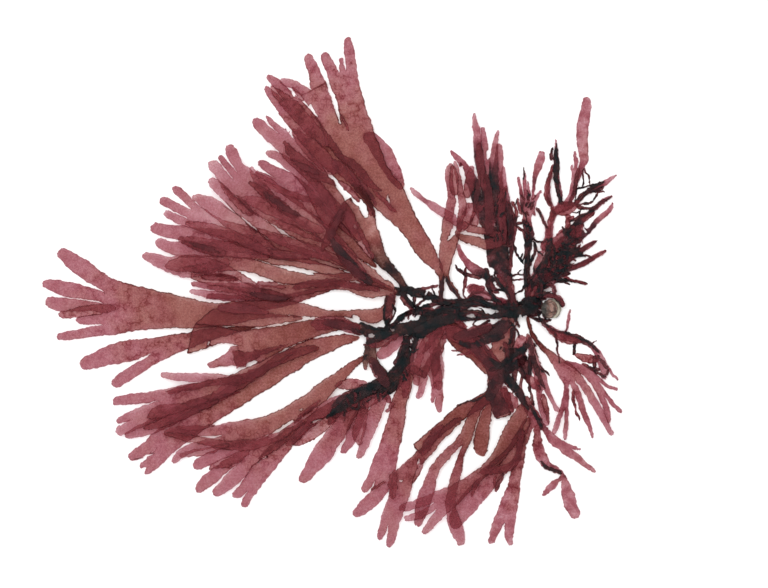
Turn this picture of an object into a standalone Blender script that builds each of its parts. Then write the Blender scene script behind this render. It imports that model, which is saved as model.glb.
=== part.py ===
"""Dulse (Palmaria palmata), a red seaweed that lies spread flat on a surface.

The plant grows from one small crusted disc, the holdfast.  Narrow dark stems leave it and widen into flat,
forked blades.  Each stem or blade is one ribbon of even thickness.  The ribbons are laid down one after
another, and each rises over every ribbon that it crosses.  +X runs towards the holdfast, +Y across the
surface and +Z off it, with the origin under the middle of the plant.
"""

import math

import bmesh
import bpy
import numpy as np
from mathutils import Vector
from mathutils.geometry import intersect_line_line_2d

MM = 0.001

# Driving dimensions, in millimetres
BLADE_THICKNESS = 0.4
BLADE_GAP = 0.3  # air between a ribbon and the one that it lies on
STEEPEST = 0.35  # rise per millimetre of run where a ribbon climbs over another
FORK_NARROWING = 0.08  # share of its width that a crossing fork gives up at a time
LAY_MARGIN = 1.2  # how far beside a ribbon its height still counts
LAY_CELL = 0.5  # cell of the height map that the ribbons are laid on
LAY_SAMPLES = 1.5  # samples per cell where a ribbon is drawn on that map
LAY_HALF_X = 152  # half the size of that map, a little more than the plant's
LAY_HALF_Y = 136
HEIGHT_TOLERANCE = 0.000001
LAID_THICKNESS = BLADE_THICKNESS * math.hypot(1, STEEPEST)  # upright thickness of the steepest ribbon

HOLDFAST_CENTER = (109.2, -8.2)
HOLDFAST_STEPS = 28
HOLDFAST_MERGE = 0.01  # the profile's two ends on the axis become one vertex each
HOLDFAST_RADIUS = 5.0
HOLDFAST_HEIGHT = 2.3
# radius and height, from the rim's foot, over the crusted rim and its groove, to the middle
HOLDFAST_PROFILE = [
    (0, 0), (4.6, 0), (HOLDFAST_RADIUS, 0.5), (4.8, 1.3), (4.1, 1.9), (3.4, 1.8),
    (2.9, 1.4), (2.3, 1.6), (1.4, 2.2), (0.5, HOLDFAST_HEIGHT), (0, HOLDFAST_HEIGHT)]

# Colours, linear red, green and blue, and roughness
BLADE_COLOUR = (0.38, 0.14, 0.14)
STEM_COLOUR = (0.07, 0.03, 0.03)
CRUST_COLOUR = (0.27, 0.21, 0.18)
BLADE_ROUGHNESS = 0.6
CRUST_ROUGHNESS = 0.85

# The ribbons, from root to tip.  A ribbon is a list of stations (x, y, width) in millimetres, with a turn
# in degrees added where a torn end is cut off slanting.  The lists after its stations are the branches
# that it forks into, written the same way.
FRONDS = {
    # stems that the ribbons hang from
    "stem_west":
        [(103, -7, 4), (97, -8, 7), (90, -9, 8), (83, -9.5, 6), (76, -11, 4), (69, -11.5, 4.5),
         (62, -11, 7), (55, -11, 8), (47, -14.5, 8), (39, -17.5, 7), (31, -19.5, 6), (24, -21.5, 6),
         (18, -20, 5.5), (13, -17, 5)],
    "stem_west_upper":
        [(98, -5, 4), (90, -6.5, 4.5), (83, -5.5, 5),
         [(77.5, -1, 4), (72.5, 1, 6), (67.5, 2, 3.5)],
         [(76, -5, 2.6), (67, -4.7, 3.6), (58, -5.5, 3.5), (51, -3, 4), (44, 0, 4.5), (37, 1, 5),
          (31, 0.5, 5)]],
    "stem_northwest":
        [(36, 0, 4), (35.3, 4.5, 3.4), (31.8, 9.2, 4.6), (27.3, 13.3, 5), (23.8, 17.2, 6.6),
         (21.4, 22, 8.6), (19, 27.5, 9.6), (16.5, 33, 10.5),
         [(10.5, 40, 8.5), (6, 45, 9)],
         [(19.4, 40, 3.4), (18, 46, 2.4)]],
    "stem_north":
        [(90.8, -8, 5), (89.6, -3, 3.4), (88.2, 1.5, 4.4), (86, 6, 8.5),
         [(77, 8.7, 4.5), (71, 11, 5.4), (66, 15.5, 3.4), (63.7, 20.5, 2.2), (62.3, 24.5, 1.4)],
         [(83.5, 12, 10), (82.5, 20, 11.5), (82.5, 28, 12), (81, 36, 15), (79.5, 44, 19),
          [(71.5, 51.5, 6.5), (68.5, 59, 5.5), (65, 64.5, 4), (61.7, 68.3, 2.6), (59, 71, 1.2)],
          [(75, 58, 5), (73.2, 68, 4.6), (72.4, 76, 4), (71.8, 83, 3.4), (70.8, 89.2, 1.6)],
          [(80, 57, 6), (80.3, 65, 4.4), (81, 73, 2.8), (82.8, 80.8, 1.6)],
          [(85.7, 52, 4.5), (85, 58, 3.4), (84.8, 63, 1.8)]]],
    "stem_north_fine":
        [(97.5, 2, 4), (97.3, 10, 3), (97.5, 18, 3), (97.8, 26, 4), (98.2, 34, 5.5), (97.7, 42, 7),
         [(94.7, 50, 2.4), (92.7, 57.7, 1.6)],
         [(96.3, 52, 2.4), (95.8, 59.5, 1.8)],
         [(98.6, 50, 2), (98, 55.5, 1.2)],
         [(100.7, 47.5, 3),
          [(101.2, 54, 1.4), (101.7, 59, 3), (103.3, 65, 4.4), (104.6, 70.5, 2.2)],
          [(103, 49, 1.8), (104.5, 51, 1)]]],
    "stem_northeast":
        [(103, -2, 5), (102, 5, 6), (103.5, 12, 7), (105.5, 19, 7), (107.5, 25, 6), (108.5, 31, 3.4),
         [(105.5, 36.5, 1.6), (101.7, 42, 1.5)],
         [(109.8, 37, 2.2), (112, 41, 4.4),
          [(108.8, 44.5, 2), (107.2, 49, 2.4), (108.3, 56, 2.6), (109.9, 61.5, 1)],
          [(114.3, 46.5, 2.4), (113.4, 51.5, 2), (112, 58.5, 2.8), (111.3, 66, 3), (112, 76, 0.8)],
          [(116.5, 42.8, 5.5),
           [(119, 48, 2.4), (121.4, 55, 3),
            [(121, 60, 3),
             [(119.5, 63.6, 1.2)],
             [(121.8, 65.5, 2.2), (121, 70.8, 1.2)]],
            [(124.2, 62, 3), (125.4, 67, 5.6), (124.7, 76, 6), (125.3, 84, 5.5), (126.7, 92, 5),
             (127, 97.3, 2)]],
           [(121.5, 44.6, 2), (124.7, 48.2, 1.5), (128.6, 51.2, 1.8), (133.5, 53, 2.4), (136.8, 55.2, 3.2),
            (140, 57.4, 2), (142, 58.7, 0.8)]]]],
    "stem_northeast_low":
        [(102, 3, 6), (104.5, 8, 10),
         [(108.5, 15, 5.5), (113.5, 20.5, 7.5), (118.3, 26, 8.5), (123, 30.5, 9),
          [(123.5, 36, 4), (127, 38.8, 2), (130.5, 41, 2.4), (133.5, 44.3, 2.2), (136, 46.8, 1.6),
           (139.5, 48.4, 1)],
          [(128.6, 31.4, 3), (131.1, 34.9, 2.6), (135.2, 38.2, 3), (138.4, 41.3, 2.6), (139.8, 44.8, 1.2)]],
         [(112, 12.7, 3.6), (118.5, 16.7, 3), (124, 20.8, 3.4), (129, 24, 2.6), (132.4, 26, 1)],
         [(112, 9.3, 3), (119, 12.3, 2.8), (125, 14, 2.8), (130, 16.8, 2.4), (134, 19.5, 2.6),
          (137.2, 20.9, 0.9)],
         [(111, 6.6, 2.2), (118, 6.2, 1.6), (124, 4.8, 1.8), (127.6, 4, 1.2)]],
    "stem_east":
        [(103, -13, 2), (109, -18.5, 2.8), (114.5, -21.5, 4.5),
         [(117.3, -18.4, 1), (117.8, -12.5, 2), (119, -8.3, 0.8)],
         [(121, -23.8, 3.4), (126.4, -24.6, 2.4), (131.4, -28.4, 3), (133.8, -32, 3.8), (135.2, -36, 4.2),
          [(140, -40.7, 1.3), (143, -43.7, 1.2)],
          [(136.2, -40.5, 3.5), (135.6, -43, 2)]]],
    "stem_southeast":
        [(86, -42, 4), (90.5, -47, 4.5), (94.7, -52, 4.5), (98.3, -58, 5.2), (102, -65, 6.2),
         [(97, -70, 4), (94.8, -77, 4), (93.7, -84, 4.5), (91.7, -91, 5.5), (90.5, -98, 6.3),
          (88.2, -106, 8.2), (86.3, -112.5, 10.5),
          [(81.7, -118.5, 5.2), (79.4, -122.8, 3.6), (78.5, -125.6, 2)],
          [(88, -119, 5), (88.8, -123.5, 3.5), (89, -126.1, 2.2)]],
         [(102, -72, 3.6), (103, -78, 6), (105, -84.5, 6), (109, -88, 3), (114, -89, 2.7),
          (115, -92, 2.6),
          [(111, -95.3, 4), (108, -98.8, 3), (105.2, -101.5, 1.5)],
          [(116.5, -97, 5.5), (118, -103, 6.8), (120, -108.5, 6.3), (121.8, -112.7, 4)]],
         [(107, -71, 3), (112, -75, 5.2), (117, -78.5, 5.5),
          [(121, -77.7, 1.8), (123.5, -78.6, 1)],
          [(122, -82.5, 4), (126.5, -86.3, 2.7), (131.3, -89.8, 1.8)]]],
    "stem_south":
        [(96, -9, 5), (90.5, -10.5, 7.5), (87, -16.5, 9), (84.5, -24, 10), (83, -32, 11),
         (82.5, -40, 11.5), (82, -46, 9.5), (83, -53, 8.5), (85, -61.8, 8.4)],
    "stem_southwest":
        [(42, -19, 5), (39, -26, 6), (37, -33, 7), (35, -39, 8.5), (31, -44, 10), (25, -47, 10),
         (18, -49.5, 9), (12, -52.5, 8), (6, -56, 7), (0, -60.5, 6)],
    # west
    "frond_west_fan":
        [(31, -1, 4), (28.5, -5.5, 4.5), (27, -10, 6), (20, -12.7, 8.5), (12, -10.5, 4.5),
         (4, -10.8, 2.8), (-4, -10.4, 4), (-11, -9.3, 6.2), (-19, -8, 8.5), (-30, -8, 9),
         (-42, -9, 10.5), (-52, -10.5, 11.5), (-61, -11.5, 12), (-70, -10.5, 15), (-80, -9.5, 17),
         (-90, -8.5, 20), (-100, -7.8, 23.5), (-107, -7.5, 26.5), (-112, -7.2, 29),
         [(-119, 8, 9.5), (-125, 12, 9), (-130, 16, 8.5), (-134, 19, 6.5), (-136.6, 20.4, 3)],
         [(-119, -0.5, 6), (-126, 0.5, 7.5), (-133, 1.8, 7.7), (-139, 3.2, 7), (-143, 4.2, 4.5),
          (-144.7, 4.3, 2)],
         [(-121, -6.3, 5), (-128, -6.5, 6.3), (-135, -5.7, 7.5), (-140, -5.3, 6), (-143, -4, 3)],
         [(-119, -13.2, 6), (-124, -13.8, 4), (-128, -13.4, 1.5)],
         [(-119, -19.3, 6), (-126, -20.5, 5), (-132, -21.8, 5.2), (-136, -22, 3.7), (-137.4, -22.3, 2)]],
    "frond_west_lower":
        [(-38, -17.6, 1.2), (-46, -18.3, 2.6), (-54, -19.4, 4.4), (-61, -20.8, 6.4), (-67, -22.5, 7.4),
         (-73, -24, 8), (-80, -26, 9.5), (-88, -28.5, 12),
         [(-96, -28.5, 10), (-104, -29.8, 11.5), (-110.5, -30.7, 11), (-117, -33.8, 8),
          (-122.5, -35, 7.5), (-126, -36.3, 3)],
         [(-95.5, -36.6, 6.5), (-102, -40.8, 6), (-107, -44.5, 5.3), (-110, -46.3, 3)]],
    "frond_west_torn":
        [(14, -17, 4), (6, -16, 5), (-2, -16.6, 7), (-10, -17.8, 9.5), (-20, -20.4, 10.5),
         (-30, -24, 14), (-38, -26.5, 17), (-44, -28.5, 18.5),
         [(-52, -21.5, 7.5), (-60, -21.5, 10), (-66, -22, 13), (-70.5, -22.8, 16.3, -26)],
         [(-49, -32, 13, -19), (-50, -33.3, 6.2), (-56, -34.4, 5.2), (-60, -35.8, 3.8), (-62, -36.7, 2)]],
    "frond_west_middle":
        [(-14, -13, 2), (-22, -13, 4), (-30, -13.3, 6), (-40, -13.3, 8), (-50, -12.5, 9),
         (-56, -12, 9.5), (-64, -12.2, 11.5, -48)],
    # south-west
    "frond_southwest_long":
        [(14, -22.5, 2.5), (6, -23.3, 5), (-2, -25.8, 7.8), (-12, -29, 10.5), (-21, -33.6, 12.5),
         (-30, -39.7, 11.5), (-40, -46.7, 11.5), (-50, -52.5, 11.5), (-60, -59, 11.5), (-70, -65, 12.5),
         (-79, -71, 13.5), (-86, -76, 14.5),
         [(-93.5, -79, 7.5), (-98.5, -81.5, 5.5), (-101.7, -82.8, 2.5)],
         [(-88.5, -83.5, 8.5), (-92, -87, 7.5),
          [(-96, -86.5, 2.5)],
          [(-92.8, -90.5, 2.5)]]],
    "frond_southwest_upper":
        [(-6, -27, 2.5), (-16, -29.5, 5), (-26, -32.6, 6), (-36, -38, 6.5), (-46, -44, 8.5),
         (-55, -47.5, 9.5), (-64, -49.7, 10.5), (-74, -51.7, 11.5), (-83, -54.3, 13),
         [(-92, -53, 6), (-100, -53, 5.5), (-106, -53.6, 4.5), (-109.7, -54.4, 2.5)],
         [(-91.5, -59.7, 9.5), (-98, -62.8, 10),
          [(-103.5, -63, 4.5), (-107.4, -64.4, 3)],
          [(-103, -67.7, 6), (-107.7, -70, 4)]]],
    "frond_southwest_slim":
        [(-44, -42.5, 3), (-52, -43.6, 5), (-60, -43.5, 6.5),
         [(-68, -42.7, 5), (-76, -42.3, 4.5), (-82, -41.3, 3.2), (-85.6, -41, 1.8)],
         [(-67, -46.2, 3.2), (-75, -48, 3.2), (-82, -50, 1.8)]],
    "frond_southwest_dark":
        [(-56, -52, 5), (-65, -55.5, 7), (-74, -59, 8), (-83, -63.5, 8.5), (-90, -67.3, 7.5),
         (-96.5, -69.5, 6), (-101, -71, 4.2), (-103.3, -71.7, 2)],
    "frond_southwest_inner":
        [(17, -31, 2), (11, -35.7, 3.2), (5, -40.5, 6), (-1, -46, 8), (-8, -52.5, 9), (-16, -57.5, 8),
         (-25, -62.7, 8.5), (-33, -66.7, 9.8), (-42, -69.3, 11.5), (-52, -71, 11.5),
         [(-61, -69.3, 5), (-70, -69, 5), (-78, -69.3, 4), (-84, -70, 2)],
         [(-61, -75.5, 5), (-69, -77, 5), (-76, -80.5, 4.5), (-79.3, -84.5, 2.5)]],
    "frond_southwest_low":
        [(8, -52, 4), (0, -57, 6), (-8, -62.5, 6), (-16, -67.5, 5), (-24, -72.3, 6), (-32, -76, 8),
         (-39, -79.5, 11), (-44, -82, 13.5),
         [(-53, -80.5, 6), (-60, -82, 6), (-66, -85, 6), (-69, -87, 2.5)],
         [(-52, -85.5, 6), (-58, -90.3, 7.8), (-63.5, -95.3, 7.5), (-67.8, -99.3, 4)],
         [(-45.5, -89, 7.5), (-51.5, -94, 8), (-56.5, -98.5, 6), (-59, -100.8, 3)]],
    "frond_southwest_end":
        [(-10, -64, 4), (-16, -69, 5.5), (-23, -75.5, 7), (-29.5, -81, 9.5), (-34, -87, 10.5),
         (-38.5, -92.5, 9.5), (-41.5, -97.5, 9),
         [(-46, -99.5, 5), (-49.3, -102, 2.5)],
         [(-42.7, -102.8, 4.4), (-44.4, -107.3, 1.8)]],
    # south
    "frond_south_broad":
        [(40.5, -34, 4), (37.5, -43, 6.5), (34, -53, 7.5), (32.2, -62, 8), (30.5, -70, 9.2),
         (28, -79, 10.7), (25.5, -87, 12), (23.5, -93, 12.3),
         [(18.3, -95, 5.5), (15.2, -98.8, 3)],
         [(23.3, -99.5, 8.5), (18.5, -105, 7.5), (13.5, -109.3, 5.8), (10.8, -111.2, 3)]],
    "frond_south_lobe":
        [(10, -51, 4), (3, -54, 6), (-3, -57.7, 7), (-8, -62, 6), (-12, -66.5, 3.5)],
    "frond_south_long":
        [(14, -54, 5), (9, -59.5, 7.5), (4.5, -66, 8.5), (0, -73.5, 9.5), (-5, -80.5, 10),
         (-9.5, -86.5, 8.3), (-13, -91.3, 6.5), (-15.5, -94, 3.5)],
    "frond_south_short":
        [(18, -54, 4), (13.5, -61, 6), (11, -68, 7), (8.5, -74, 5), (6, -78.5, 3.5), (5, -80, 2)],
    "frond_south_finger":
        [(26, -50, 5), (22.5, -58, 7), (19, -66, 7.5), (16.5, -74, 5), (14.5, -79.5, 3.7),
         (13.2, -82.6, 2)],
    "frond_south_torn":
        [(82, -48, 4), (77, -53, 6), (70, -57, 7), (63.5, -60, 7.5), (58, -64.5, 6.5), (52, -70, 6),
         (46.5, -74.6, 7), (42.3, -78, 5.5)],
    "frond_south_forked":
        [(65, -62.5, 3.5), (59, -67, 4.5), (53, -72, 5), (47.5, -78.5, 6), (42, -84, 6), (37, -89.5, 9),
         (34.5, -95, 12), (33.3, -101, 10.5), (31.5, -107.5, 10), (28.8, -114, 9.8),
         [(25.3, -118.5, 4.5), (22.9, -123, 2.5)],
         [(29.8, -120, 5.5), (28.6, -124.3, 4), (27.4, -126.8, 2)]],
    # south-east
    "frond_southeast_torn":
        [(80, -50, 4), (77, -54, 7),
         [(76.5, -60, 6), (75, -67, 7.5), (73.7, -74, 8.4), (72.5, -81.2, 10, -19)],
         [(71, -60.5, 6.5), (68.7, -67, 6.3), (66, -74, 7.4),
          [(60, -77.8, 4.5), (54, -83.5, 5), (50.3, -89.5, 5), (48.5, -95, 6), (46.7, -101, 8),
           (45, -107, 7.5), (43.6, -112, 5), (42.5, -116.7, 2.5)],
          [(64.3, -81, 3.3), (62.7, -87, 4.5), (60.7, -94, 4.7), (59.5, -101, 5), (59, -108, 5),
           (60.5, -114, 6.3), (62.8, -120, 7), (64, -124, 4.3), (63.6, -125.9, 2)]]],
    "frond_southeast_wide":
        [(96.5, -55, 4), (94, -61, 8), (90.5, -68.5, 9), (86.5, -76, 8.5), (82, -83, 6.5), (76, -89, 5),
         (68.5, -94.7, 6.5), (61, -101, 10), (53.7, -105.3, 13),
         [(47, -104, 5), (41, -106, 5), (36, -107.2, 4.2), (33, -107.5, 2)],
         [(46.5, -110, 3.5), (41, -112.3, 3.6), (36, -113.3, 1.7)],
         [(50.5, -113.5, 5), (48, -117.5, 4.2), (45.2, -120.3, 2)]],
    "frond_southeast_inner":
        [(98.5, -62, 3), (95, -70, 5), (92, -77, 6), (88.5, -84, 6), (83.5, -89.5, 5.5),
         (77.7, -95, 8.5), (72, -100.7, 10), (66.8, -106.5, 10.5), (62.8, -112, 8.5),
         (60.7, -117.5, 4.5)],
    # east
    "frond_east_fan":
        [(97.8, -11.5, 2), (97.7, -16, 2), (100, -21.5, 2.2), (104.6, -27.4, 2.4), (110.4, -32.6, 4.4),
         (115.5, -38.5, 9), (119.5, -42, 9.5),
         [(117, -48, 2.4), (116, -56, 3.4),
          [(113, -63.5, 3), (110.5, -71, 1.7)],
          [(117, -65, 2.4), (116.5, -74, 1.8)]],
         [(122, -49.5, 3.2), (125, -58, 3.2), (127.5, -65, 3), (129.3, -69, 1.6), (130, -72.4, 1.8)],
         [(126, -47, 4.2), (130.5, -54, 4), (134, -60.5, 3.8), (137, -66, 3), (139.5, -71, 1.5)]],
    "frond_east_inner":
        [(97, -20, 2.5), (99.5, -28, 4), (101.5, -35, 4), (103.5, -42, 6), (105, -47, 6),
         [(103, -53, 2.2), (105, -60, 3), (107.5, -66.3, 1.8)],
         [(108.5, -51.5, 2), (111, -55.5, 2.6), (113, -59.5, 1.3)]],
    "frond_east_side":
        [(116, -34, 2), (121, -36.5, 3.5), (127, -39.5, 4.5), (131.3, -44, 5.5),
         [(134.5, -50, 4.5),
          [(136.5, -56, 3.2), (138.5, -64.7, 1.5)],
          [(139.5, -55, 2.4), (144.3, -60, 1.3)]],
         [(136.5, -46.7, 1.8), (142.3, -48.6, 1.1)]],
    # north-west, lower ribbons
    "frond_northwest_low":
        [(31.5, -0.5, 3), (26, 0.8, 5), (20, 0.6, 7), (14, 1.2, 6.2), (9, 3, 4.4), (2, 3.7, 4.8),
         (-4, 3.5, 5.5), (-13, 2, 6), (-22, 0.5, 7), (-32, 0, 8), (-42, 0.5, 8.5), (-52, 1, 8),
         [(-60, 2.5, 4.5), (-66, 3.5, 3.5), (-70, 4.6, 1.8)],
         [(-60, -1.5, 4), (-66, 0.2, 3.2), (-70.8, 0.5, 2)]],
    "frond_northwest_under":
        [(4, 2.5, 3), (-6, 1.5, 4), (-16, -2.5, 5), (-26, -4.5, 6.5), (-36, -4.8, 8), (-45, -4.5, 8),
         [(-52, -2.8, 3.6), (-58, -2.3, 3.2), (-63, -2.2, 1.8)],
         [(-52, -7.5, 4.5), (-57, -7.6, 1.5)]],
    "frond_northwest_long":
        [(31, 1, 3), (24, 4.5, 4), (14, 7.5, 4), (4, 7.5, 4), (-6, 6.5, 4.5), (-15, 6.5, 6),
         (-24, 8, 7.5), (-33, 11, 7), (-42, 14, 7), (-51, 14.8, 7.5), (-60, 14, 9), (-68, 13, 11),
         (-75, 13, 12),
         [(-82, 13.7, 7.5), (-88, 16.2, 6.3), (-92, 17.8, 4.6), (-94.6, 18.5, 2.2)]],
    "frond_northwest_second":
        [(10, 7, 3), (2, 9.8, 5), (-8, 13.2, 5.4), (-18, 15.2, 5), (-28, 16.6, 5.5), (-38, 19.5, 6.5),
         (-48, 21.5, 7.5), (-58, 21.8, 8), (-67, 21.3, 8.5), (-74, 21.5, 8.5),
         [(-80, 22, 6), (-85, 24.5, 5), (-88, 26.2, 2.6)]],
    "frond_northwest_third":
        [(20, 6, 2.5), (12, 10.5, 3.5), (4, 14.5, 4.5), (-7, 17, 6), (-18, 19, 8), (-29, 21.5, 9),
         (-40, 23.5, 10), (-50, 25.5, 10), (-60, 27, 9.5), (-69, 28.5, 8.5), (-77, 29.8, 7),
         (-84, 31.2, 6.2), (-88.5, 32.2, 6), (-90.8, 32.3, 3.5)],
    "frond_northwest_fourth":
        [(8, 13, 3), (-2, 18, 6), (-12, 21.5, 7), (-23, 24.5, 8), (-34, 27, 9), (-45, 29, 9.5),
         (-55, 31.5, 9.5), (-63, 34.5, 10.5), (-69, 38, 11.5),
         [(-74.5, 35.5, 4.5), (-80, 38, 4.3), (-84, 39.8, 2.6)],
         [(-77, 42, 4.8), (-82, 44.8, 5.2), (-86, 45.9, 3)],
         [(-73, 47, 4.6), (-77, 50.5, 4.2), (-79.7, 52.3, 2.4)]],
    "frond_northwest_band":
        [(-19, 16.2, 2), (-25, 17.8, 3.4), (-31, 20.6, 5.4), (-37, 25, 8.5), (-43, 30.5, 9.5),
         (-50, 36, 9.5), (-56, 40.3, 9), (-61.5, 43.8, 8.2), (-66, 46.5, 5.5), (-69.3, 47.8, 2.2)],
    "frond_northwest_finger":
        [(-22, 23, 4), (-29, 28.5, 7), (-36, 33, 8), (-43, 39, 7.5), (-49, 44.5, 6.5), (-54, 49.5, 6.5),
         (-58, 53.5, 6.3), (-60.8, 56.3, 4)],
    "frond_northwest_hand":
        [(27, 2.5, 3), (20, 5.5, 4), (12, 10.5, 4.5), (4, 16.5, 5), (-6, 23, 7), (-15, 30, 9),
         (-24, 37, 11), (-33, 44, 14), (-41, 50.5, 16), (-47, 56, 17),
         [(-55, 59, 7), (-58.5, 62.5, 6), (-61.3, 64.3, 3.2)],
         [(-53, 63.5, 4.2), (-55, 66.5, 3.4), (-56.2, 68.2, 1.8)],
         [(-48.7, 63.5, 6.2), (-50, 69, 6), (-51.8, 73.3, 3.2)]],
    # north-west, upper ribbons
    "frond_northwest_dark":
        [(31, 1.5, 3), (25, 5.5, 4.5), (19.5, 9, 5), (14, 13, 5.5), (9, 18, 6), (2, 25, 7), (-7, 32, 8),
         (-16, 39, 9), (-25, 46, 10), (-32, 52, 9), (-37, 56.5, 7),
         [(-39.7, 60, 2.6), (-40.7, 63, 1.5)]],
    "frond_northwest_pink":
        [(22, 12.7, 2), (17.5, 15.7, 3.5), (12, 20.5, 5.5), (5, 29, 7.5), (-3, 37, 8), (-11, 45, 10),
         (-19, 52, 12), (-26, 57, 11),
         [(-32, 57, 4), (-38, 59.5, 1.8)],
         [(-30, 61, 5.2), (-34, 63.7, 4.3), (-36.9, 65.3, 2)]],
    "frond_northwest_thin":
        [(14, 25, 4), (7, 34, 7), (0, 42, 9), (-7, 50, 9), (-14, 58, 8), (-20, 63.5, 5.5),
         (-26, 67, 4.8), (-30.5, 69.3, 4), (-33, 70, 2)],
    "frond_northwest_pair":
        [(12, 30, 5), (8.4, 36, 7.5), (3.6, 42.4, 9), (-1.2, 49, 9.6), (-6, 56, 10), (-13, 64, 11),
         (-20, 71, 12), (-25.5, 77, 11.5),
         [(-32.5, 80.3, 7), (-36.3, 83.7, 6), (-39.3, 86.3, 3)],
         [(-28, 82, 4.2), (-31, 85.6, 3), (-32.9, 88.3, 1.5)]],
    "frond_northwest_tall":
        [(20, 38, 3), (18.3, 44, 2.6), (14, 50.5, 5), (7, 58.5, 9), (-1, 67, 12), (-8, 76, 14),
         (-15, 85, 14), (-20.5, 92, 13.5),
         [(-27.5, 96, 6), (-31.3, 100, 5), (-33.7, 102.8, 2.6)],
         [(-24.5, 99.5, 7), (-28, 103.5, 6.5), (-31, 107, 4), (-32, 108.6, 2)]],
    # north
    "frond_north_broad":
        [(54, -6, 3), (54.3, 1, 2.6), (54.8, 8.5, 2.5), (50.8, 15.3, 7), (47.2, 20, 9.3),
         (43, 26.2, 10), (39.3, 32.5, 9.6), (35, 38, 11.7), (31.5, 43, 15.4), (28.3, 47.7, 18),
         (23.1, 53.3, 16.6), (18.9, 61.2, 18), (14, 69.5, 21), (9.7, 76.5, 24), (7, 81.5, 26),
         [(-2.8, 88.7, 10), (-6.6, 95.5, 12.3), (-9.7, 101.5, 14.8),
          [(-17, 102.5, 5), (-21, 105, 4.3), (-26, 105.8, 1.8)],
          [(-8.5, 108, 6.5), (-10.3, 113, 6.2), (-12, 117, 5), (-12.9, 118.9, 2.5)]],
         [(10.3, 90, 14.5), (8.5, 98, 13.3), (6.3, 104, 14.5), (5.2, 108.5, 15),
          [(-1.4, 113, 5.8), (-3, 117, 5), (-4.2, 119.8, 2.8)],
          [(4.6, 114, 2.6), (4.4, 117.2, 1)],
          [(9.7, 113, 5.4), (8.6, 119, 5.4), (7.9, 124, 4.9), (7.5, 127.2, 2.6)]]],
    "frond_north_lobe":
        [(34.8, 51.5, 3.6), (33, 55.5, 6.5), (29.5, 61.8, 9), (25.5, 69, 9.5), (20.5, 76, 8),
         (16.3, 79, 3.5)],
    "frond_north_middle":
        [(64, -4.5, 2.5), (60, 3, 2.4), (56.3, 9, 2.4), (56.5, 17, 7), (58, 25, 9),
         [(57.5, 33, 5.5), (58.3, 41, 4.5), (60.3, 47, 4), (58.3, 54, 3.2), (57.8, 59.5, 4),
          (59.7, 64.3, 3)],
         [(63, 30, 2.5), (64, 37, 3), (65.5, 44, 4.5), (64, 51, 3.4), (62.3, 58, 2.6), (61, 65.5, 1.5)]],
    "frond_north_back":
        [(83, 38, 7), (81.5, 46, 9), (80, 54, 10.5),
         [(76.8, 62, 5), (76, 70, 4.6), (75.4, 77, 3), (74.8, 82.3, 1.4)],
         [(82.3, 60, 5), (83, 67, 4.8), (83.4, 71.5, 3.8), (83, 74.3, 2)]],
    "frond_north_leaf":
        [(87, 27, 6), (82, 26.5, 8),
         [(77, 23.5, 5.5), (71, 26, 5), (65, 27.6, 3.4), (62, 29, 1.8)],
         [(76, 30.5, 3.4), (71, 31, 3.6), (65.5, 33, 4.4), (60, 36.7, 5), (54.5, 40.5, 4.5),
          (49.5, 43.5, 4), (45.5, 46, 1.8), (42.5, 49, 3.2), (39.3, 52, 1.8)]],
    # middle
    "frond_center_broad":
        [(57, -15, 6), (62, -22, 11), (68.5, -27, 11), (75.5, -32.5, 10), (82, -40, 9)],
    "frond_center_south":
        [(55, -14, 6), (51, -20, 8), (48.5, -27, 10), (47.3, -34, 13), (47, -39, 14.5),
         [(41.8, -43, 3), (42, -46.5, 1.2)],
         [(45.3, -44, 4), (44, -49, 3.5), (42.3, -53, 1.6)],
         [(52.2, -45, 6.7), (52.3, -51, 6.5),
          [(50, -55, 2.6)],
          [(53.3, -55.5, 3.4), (53.5, -59.5, 1)]]],
    "frond_center_leaf":
        [(36, -21, 3), (31.5, -25, 6), (27, -29, 6), (23, -32.5, 3.5)],
    "frond_center_torn":
        [(20, -22, 4), (19, -28, 6), (18.7, -33, 7.5),
         [(16, -38.3, 3.4)],
         [(23, -38, 5), (26.5, -42.5, 6)]],
    "frond_by_holdfast":
        [(102, 0, 2), (105, -0.8, 2.2), (108, -1.6, 2.4), (110.2, -1.9, 2.6),
         [(113.3, -3.6, 3), (114.6, -5.6, 3), (115.3, -7.6, 2)],
         [(111.6, -0.2, 1.2), (111.2, 2, 1), (110.2, 4, 1.2), (107.8, 5.2, 1.3), (105.2, 4.9, 1.4)]],
}


# ---------------------------------------------------------------- layout of the ribbons


class Section:
    """A line across a ribbon, from its left edge to its right edge, and the sections that follow it."""

    def __init__(self, left, right):
        self.points = [left, right]
        self.height = 0.0
        self.followers = []

    def middle(self):
        return (self.points[0] + self.points[-1]) / 2

    def across(self):
        return self.points[-1] - self.points[0]


def stations_of(branch):
    return [item for item in branch if isinstance(item, tuple)]


def forks_of(branch):
    return [item for item in branch if isinstance(item, list)]


def section_at(station, direction):
    """The section of one station: square to the ribbon's direction, then turned by the station's turn."""
    angle = math.atan2(direction.y, direction.x) + math.pi / 2
    if len(station) > 3:
        angle += math.radians(station[3])
    half = Vector((math.cos(angle), math.sin(angle))) * (station[2] / 2)
    middle = Vector(station[:2])
    return Section(middle + half, middle - half)


def sections_of(stations, before):
    """One section per station, each square to the mean of the directions before and after it."""
    places = [Vector(station[:2]) for station in stations]
    sections = []
    for i, station in enumerate(stations):
        behind = places[i - 1] if i else before
        direction = Vector((0, 0))
        if behind is not None:
            direction += (places[i] - behind).normalized()
        if i + 1 < len(places):
            direction += (places[i + 1] - places[i]).normalized()
        sections.append(section_at(station, direction))
    return sections


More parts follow.
